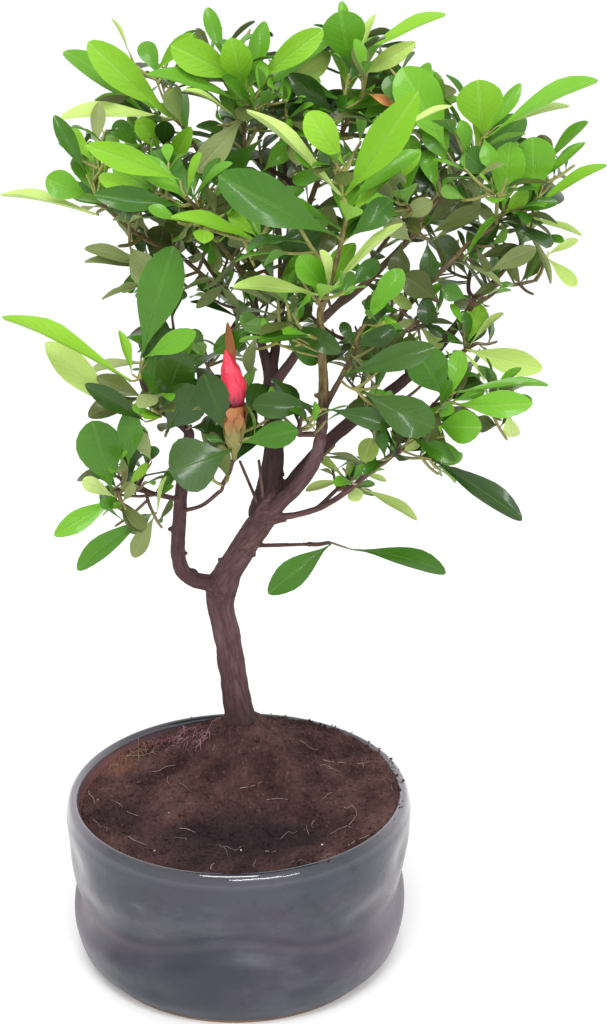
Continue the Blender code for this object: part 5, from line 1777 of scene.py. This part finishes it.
for name in MASSES:
    stems.append(as_drawn(*twig_lines[name][0][:2], 10))
    for path, radii, _ in twig_lines[name][1:]:
        (stems if radii[0] >= TWIG_RADIUS else green_shoots).append(as_drawn(path, radii, 9))
for path, radii in seen_twigs:
    green_shoots.append(as_drawn(path, radii, 8))
for path, radii in sprig_lines:
    green_shoots.append(as_drawn(path, radii, 7))
stem_wood = joined("stems", stems)
with_bark(stem_wood.data, wood_lines, 0.10)
finish_piece(stem_wood, "bark", material=bark.material)


# The leaves' blades. Each outline gives half the width at shares of the length, up to
# the tip. Blades are made once for each of four shapes and put on every leaf.

ROUND_LEAF = (
    (0.05, 0.055), (0.12, 0.085), (0.22, 0.24), (0.34, 0.52), (0.47, 0.79), (0.60, 0.96), (0.72, 1.0),
    (0.83, 0.89), (0.92, 0.64), (0.98, 0.30),
)
BLUNT_LEAF = (
    (0.05, 0.055), (0.13, 0.10), (0.24, 0.28), (0.36, 0.56), (0.48, 0.81), (0.60, 0.97), (0.71, 1.0),
    (0.82, 0.88), (0.915, 0.62), (0.975, 0.33),
)
POINTED_LEAF = (
    (0.05, 0.055), (0.13, 0.13), (0.24, 0.38), (0.36, 0.66), (0.48, 0.88), (0.60, 1.0), (0.71, 0.96),
    (0.82, 0.76), (0.91, 0.52), (0.97, 0.27),
)
BLADE_THICKNESS = 0.011
KEEL = 1.9
BLADE_COLUMNS = (-1.0, -0.5, 0.0, 0.5, 1.0)
RING = 2 * len(BLADE_COLUMNS) - 2
SLIM = 0.405
POINTED = 0.29
MIDRIB_SIZE = 0.012
LEAF_CREASE = math.radians(60)


def leaf_shape(name, outline, fold, arch, curl, wave, lean):
    """One leaf, a unit long and wide, as a closed blade with a keel, and its midrib."""

    def sideways(y):
        """How far the leaf bends to the side at a share of its length."""
        return lean * y * (1 - y) * 2

    def surface(across, y):
        """Point on the upper face, at a distance across from the midrib."""
        tip_curl = -curl * max(0.0, y - 0.55) ** 2 * 2.5
        rim_wave = wave * abs(across) * math.sin(y * 9.5 + (1.2 if across > 0 else 0.0))
        height = fold * abs(across) ** 1.3 + arch * 4 * y * (1 - y) + tip_curl * y + rim_wave
        return sideways(y) + 0.5 * across, y, height

    points = [(0.0, 0.0, 0.0)]
    for y, half in outline:
        top = [surface(column * half, y) for column in BLADE_COLUMNS]
        points += top
        for (x, _, z), keel in zip(reversed(top[1:-1]), (1.0, KEEL, 1.0)):
            points.append((x, y, z - BLADE_THICKNESS * keel))
    points.append(surface(0.0, 1.0))
    blade = bpy.data.meshes.new(name)
    blade.from_pydata(points, [], rings_to_faces(len(outline), RING))
    faces_out(blade)
    layout = blade.uv_layers.new(name="UVMap")
    underside = blade.attributes.new("under", "FLOAT", "FACE")
    for face in blade.polygons:
        ring_places = [(number - 1) % RING for number in face.vertices if 0 < number < len(points) - 1]
        is_under = any(place >= len(BLADE_COLUMNS) for place in ring_places)
        underside.data[face.index].value = float(is_under)
        for loop in face.loop_indices:
            x, y, _ = blade.vertices[blade.loops[loop].vertex_index].co
            layout.data[loop].uv = (x + 0.5 - sideways(y), y)
    rib_points = [(0.0, 0.0, 0.0)]
    for y in (0.0, *[y for y, _ in outline[:-1]]):
        x, _, z = surface(0.0, y)
        size = MIDRIB_SIZE * (1.15 - y)
        foot = z - 0.1 * size
        rib_points += [(x - 2.0 * size, y, foot), (x, y, z + size * 0.75)]
        rib_points += [(x + 2.0 * size, y, foot), (x, y, z - size)]
    rib_points.append((x, y + 0.03, z - 0.002))
    rib = bpy.data.meshes.new(name + " midrib")
    rib.from_pydata(rib_points, [], rings_to_faces(len(outline), 4))
    return bpy.data.objects.new(name, blade), bpy.data.objects.new(name + " midrib", rib)


leaf_shapes = [
    leaf_shape("1 round leaf", ROUND_LEAF, 0.030, 0.050, 0.02, 0.004, 0.0),
    leaf_shape("2 round curled leaf", ROUND_LEAF, 0.045, 0.070, 0.14, 0.010, 0.07),
    leaf_shape("3 slim leaf", BLUNT_LEAF, 0.040, 0.045, 0.07, 0.006, -0.04),
    leaf_shape("4 pointed waved leaf", POINTED_LEAF, 0.055, 0.030, 0.03, 0.012, 0.06),
]
blades = kept_aside("blades", [blade for blade, rib in leaf_shapes])
midribs = kept_aside("midribs", [rib for blade, rib in leaf_shapes])


def placing_maker():
    """Geometry Nodes that put a leaf on each point, turned and sized by the point's attributes."""
    tree, inputs, entry = maker_tree(
        "leaves on points", Places="Geometry", Things="Collection", Finish="Material")
    attributes = {}
    for name, kind in (("turn", "FLOAT_VECTOR"), ("size", "FLOAT_VECTOR"), ("kind", "INT")):
        attributes[name] = add_node(
            tree, "GeometryNodeInputNamedAttribute", {"data_type": kind}, {"Name": name})
    place_things(tree, entry, {
        "Points": entry["Places"], "Instance Index": attributes["kind"], "Rotation": attributes["turn"],
        "Scale": attributes["size"]})
    return tree, inputs


placing = placing_maker()


def leaf_places(grown):
    """Points for a list of leaves, with their turn, size, kind and shade."""
    mesh = bpy.data.meshes.new("leaf places")
    mesh.from_pydata([leaf.root * MM for leaf in grown], [], [])
    turns = []
    sizes = []
    kinds = []
    shades = []
    rng = random.Random(8)
    for leaf in grown:
        length = (leaf.tip - leaf.root).length
        along = (leaf.tip - leaf.root) / length
        turns.extend(Matrix((along.cross(leaf.face), along, leaf.face)).transposed().to_euler())
        sizes += (leaf.width * MM, length * MM, length * MM)
        pick = rng.randrange(6)
        if leaf.width > SLIM * length:
            kinds.append(int(pick > 3))
        else:
            kinds.append(2 + int(pick > 3 or leaf.width < POINTED * length and pick > 1))
        shades.append(rng.random())
    for name, kind, key, values in (
        ("turn", "FLOAT_VECTOR", "vector", turns), ("size", "FLOAT_VECTOR", "vector", sizes),
        ("kind", "INT", "value", kinds), ("shade", "FLOAT", "value", shades),
    ):
        mesh.attributes.new(name, kind, "POINT").data.foreach_set(key, values)
    return mesh


def placed_leaves(name, grown, shapes, finish):
    """Object with one of the shapes on each leaf of a list. Blades keep a crease at their edge."""
    piece = made_by_nodes(name, leaf_places(grown), placing, {"Things": shapes, "Finish": finish})
    piece.data.shade_smooth()
    if shapes == blades:
        piece.data.set_sharp_from_angle(angle=LEAF_CREASE)
    return piece


PALE_BACK = (0.34, 0.46, 0.20)


def leaf_finish(name, dark, light, rib, roughness, coat):
    """Waxy green with a paler midrib, side veins and edge, and a dull pale underside."""
    finish = Finish(name, Coat_Weight=coat, Coat_Roughness=0.12, Specular_IOR_Level=0.16)
    across, along, _ = finish.parts_of(finish.node("ShaderNodeTexCoord", output="UV"))
    shade = finish.attribute("shade")
    under = finish.attribute("under")
    clouds = finish.noise(finish.place(), 70.0)
    from_rib = abs(across - 0.5)
    slant = along * 58.0 - from_rib * 34.0
    veins = slant.maths("SINE", slant).above(0.72, 1.0) * (1 - from_rib.above(0.32, 0.46))
    near_rib = 1 - from_rib.above(0.010, 0.055)
    green = finish.layered(
        dark,
        (0.65 * shade + 0.5 * clouds - 0.1, light),
        (veins * 0.06, rib),
        (near_rib * 0.3, rib),
        (from_rib.above(0.43, 0.5) * 0.12, rib),
        (under * 0.5, tuple(0.6 * a + 0.4 * b for a, b in zip(light, PALE_BACK))),
    )
    relief = finish.noise(finish.place(), 420.0) * 0.5 - veins * 0.5 - near_rib
    finish.give(
        Base_Color=green,
        Roughness=roughness + 0.14 * clouds + 0.16 * under,
        Normal=finish.bump(relief, 0.0003, 0.5),
    )
    return finish.material


# Colours of each tint's dark and light leaves and of its midrib, then its roughness and coat.
TINTS = {
    "lime": ((0.145, 0.365, 0.012), (0.262, 0.515, 0.038), (0.37, 0.58, 0.13), 0.36, 0.0),
    "fresh": ((0.075, 0.240, 0.010), (0.165, 0.420, 0.024), (0.27, 0.50, 0.08), 0.32, 0.20),
    "mid": ((0.027, 0.105, 0.004), (0.072, 0.220, 0.012), (0.15, 0.31, 0.05), 0.28, 0.30),
    "deep": ((0.012, 0.042, 0.003), (0.040, 0.110, 0.008), (0.09, 0.18, 0.03), 0.26, 0.40),
    "olive": ((0.054, 0.072, 0.015), (0.125, 0.162, 0.038), (0.21, 0.25, 0.09), 0.35, 0.15),
    "sage": ((0.185, 0.230, 0.070), (0.370, 0.450, 0.185), (0.48, 0.55, 0.28), 0.40, 0.0),
    "rusty": ((0.740, 0.290, 0.080), (0.950, 0.430, 0.180), (0.70, 0.48, 0.16), 0.40, 0.0),
    "pale": ((0.380, 0.550, 0.100), (0.560, 0.700, 0.250), (0.62, 0.74, 0.34), 0.36, 0.0),
}

all_leaves = [leaf for grown in leaves.values() for leaf in grown]
for tint, (dark, light, rib, roughness, coat) in TINTS.items():
    tinted = [leaf for leaf in all_leaves if leaf.tint == tint]
    finish = leaf_finish(tint + " leaf", dark, light, rib, roughness, coat)
    blade_piece = placed_leaves(tint + "_leaves", tinted, blades, finish)
    finish_piece(blade_piece, "foliage", *(MASSES if tint == "lime" else ()))
    finish_piece(placed_leaves(tint + "_midribs", tinted, midribs, finish), "foliage")

shoot_finish = Finish("young shoot", Roughness=0.5)
shoot_place = shoot_finish.place()
shoot_grain = shoot_finish.noise(shoot_place, 160.0)
green_shoot = shoot_finish.mix(shoot_grain, (0.16, 0.15, 0.036), (0.40, 0.40, 0.115))
brown_shoot = shoot_finish.mix(shoot_grain, (0.085, 0.046, 0.026), (0.230, 0.155, 0.075))
_, shoot_y, shoot_z = shoot_finish.parts_of(shoot_place)
high_up = shoot_z.above(0.262, 0.296)
greenness = high_up.maths("MAXIMUM", high_up, 1 - shoot_y.above(-0.040, -0.014))
shoot_finish.give(
    Base_Color=shoot_finish.mix(greenness, brown_shoot, green_shoot),
    Normal=shoot_finish.bump(shoot_finish.noise(shoot_place, 900.0), 0.0002, 0.5),
)
finish_piece(joined("green_shoots", green_shoots), "foliage", material=shoot_finish.material)


# The flower bud is closed and pointed, with pink petals furled round each other, green
# and brown scales round its foot and a brown scale behind it, on a short stalk.

PETAL_TURNS = 5
PETAL_STEPS = 60
BUD_RISES = 26
bud_foot = Vector(MASSES[BUD_MASS].shoots[0]) - UP
body_foot = bud_foot + UP * BUD_STALK
body_length = 0.9 * BUD_LENGTH


def bud_radius(share):
    """Radius of the bud's body along its height."""
    for (low, small), (high, large) in zip(BUD_PROFILE, BUD_PROFILE[1:]):
        if share <= high:
            t = (share - low) / (high - low)
            return BUD_RADIUS * (small + (large - small) * t * t * (3 - 2 * t))
    return BUD_RADIUS * BUD_PROFILE[-1][1]


def bud_lean(share):
    """How far the bud leans at a share of its height: a little right, then to a tip at the left."""
    return Vector((1.6 * share - 3.8 * share**2, 0.0, 0.0))


bud_points = [body_foot]
for step in range(BUD_RISES + 1):
    share = step / BUD_RISES
    for side in range(PETAL_STEPS):
        turn = 2 * math.pi * side / PETAL_STEPS
        furl = (turn / (2 * math.pi) * PETAL_TURNS + share * 1.9) % 1.0
        lap = 0.95 * (furl**2) * math.sin(math.pi * min(1.0, share * 1.1 + 0.05))
        radius = bud_radius(share) * (0.90 + 0.14 * lap) + 0.15 * lap
        out = Vector((math.cos(turn), math.sin(turn), 0)) * radius
        rise = body_length * share + 0.25 * math.sin(5 * turn)
        bud_points.append(body_foot + out + bud_lean(share) + UP * rise)
bud_points.append(body_foot + bud_lean(1.0) + UP * (body_length + 0.4))
bud = mesh_piece("flower_bud", bud_points, rings_to_faces(BUD_RISES + 1, PETAL_STEPS))
petal = Finish("petal", Roughness=0.45)
petal_place = petal.place()
petal_height = petal.parts_of(petal_place)[2]
petal_rise = petal_height.above(body_foot.z * MM, (body_foot.z + body_length) * MM)
petal_streaks = petal.noise(petal.stretched(petal_place, (900, 900, 120)), 1.0)
petal_folds = petal.noise(petal.stretched(petal_place, (420, 420, 90)), 1.0, 2.0)
petal_dots = 1 - petal.spots(petal_place, 800.0).above(0.08, 0.30)
petal_specks = petal_dots * petal.noise(petal_place, 300.0).above(0.45, 0.6)
petal_colour = petal.layered(
    (0.13, 0.004, 0.020),
    ((petal_rise + 0.35 * petal_streaks - 0.17).above(0.0, 0.36), (0.76, 0.034, 0.074)),
    ((1 - petal_folds.above(0.34, 0.54)) * 0.6, (0.42, 0.006, 0.050)),
    (petal_streaks.above(0.55, 0.8) * petal_rise.above(0.3, 0.8) * 0.45, (0.86, 0.14, 0.19)),
    (petal_specks * 0.5, (0.90, 0.28, 0.32)),
)
petal.give(Base_Color=petal_colour, Normal=petal.bump(petal_streaks + petal_folds, 0.0006, 0.6))
finish_piece(bud, "foliage", material=petal.material)

# The green cup under the bud: heights over its foot and radii. Scales lap round it,
# and one long brown scale stands behind the bud.
CALYX = ((0.0, 0.8), (2.0, 1.0), (3.5, 1.9), (6.0, 2.9), (10.0, 3.4), (15.0, 3.6), (18.2, 3.5))
SCALE_COUNT = 17
SCALE_TURN = 2.4


def calyx_radius(height):
    """Radius of the green cup under the bud, at a height over its foot."""
    for (low, small), (high, large) in zip(CALYX, CALYX[1:]):
        if height <= high:
            return small + (large - small) * (height - low) / (high - low)
    return CALYX[-1][1]


bud_scales = []
for number in range(SCALE_COUNT):
    share = number / (SCALE_COUNT - 1)
    low = 2.6 + 11.0 * share
    high = min(low + 5.5 + 1.5 * (number % 3), 19.5)
    outward = Vector((math.cos(SCALE_TURN * number), math.sin(SCALE_TURN * number), 0))
    root = bud_foot + UP * low + outward * (calyx_radius(low) + 0.1)
    tip = bud_foot + UP * high + outward * (calyx_radius(high) + 0.4)
    bud_scales.append(Leaf(root, tip, outward, 2.2 + 1.6 * share, "scale"))
brown_root = body_foot + Vector((0.5, 4.0, 4))
brown_tip = body_foot + Vector((-1.8, 4.8, 27))
bud_scales.append(Leaf(brown_root, brown_tip, Vector((0, -1, 0.1)).normalized(), 3.2, "scale"))
scale_finish = Finish("bud scale", Roughness=0.6)
scale_place = scale_finish.place()
scale_grain = scale_finish.noise(scale_place, 420.0)
scale_green = scale_finish.mix(scale_grain, (0.110, 0.105, 0.022), (0.270, 0.250, 0.070))
scale_brown = scale_finish.mix(scale_grain, (0.230, 0.062, 0.018), (0.400, 0.170, 0.055))
cup_rise = scale_finish.parts_of(scale_place)[2] + 0.004 * scale_grain
browning = cup_rise.above((bud_foot.z + 10.0) * MM, (bud_foot.z + 17.0) * MM)
scale_finish.give(
    Base_Color=scale_finish.mix(browning, scale_green, scale_brown),
    Normal=scale_finish.bump(scale_grain, 0.0004, 0.5),
)
finish_piece(placed_leaves("bud_scales", bud_scales, blades, scale_finish.material), "foliage")
calyx_line = [bud_foot + UP * height for height, _ in CALYX]
calyx = joined("bud_stalk", [tube(calyx_line, [radius for _, radius in CALYX], 16)])
finish_piece(calyx, "foliage", material=scale_finish.material)
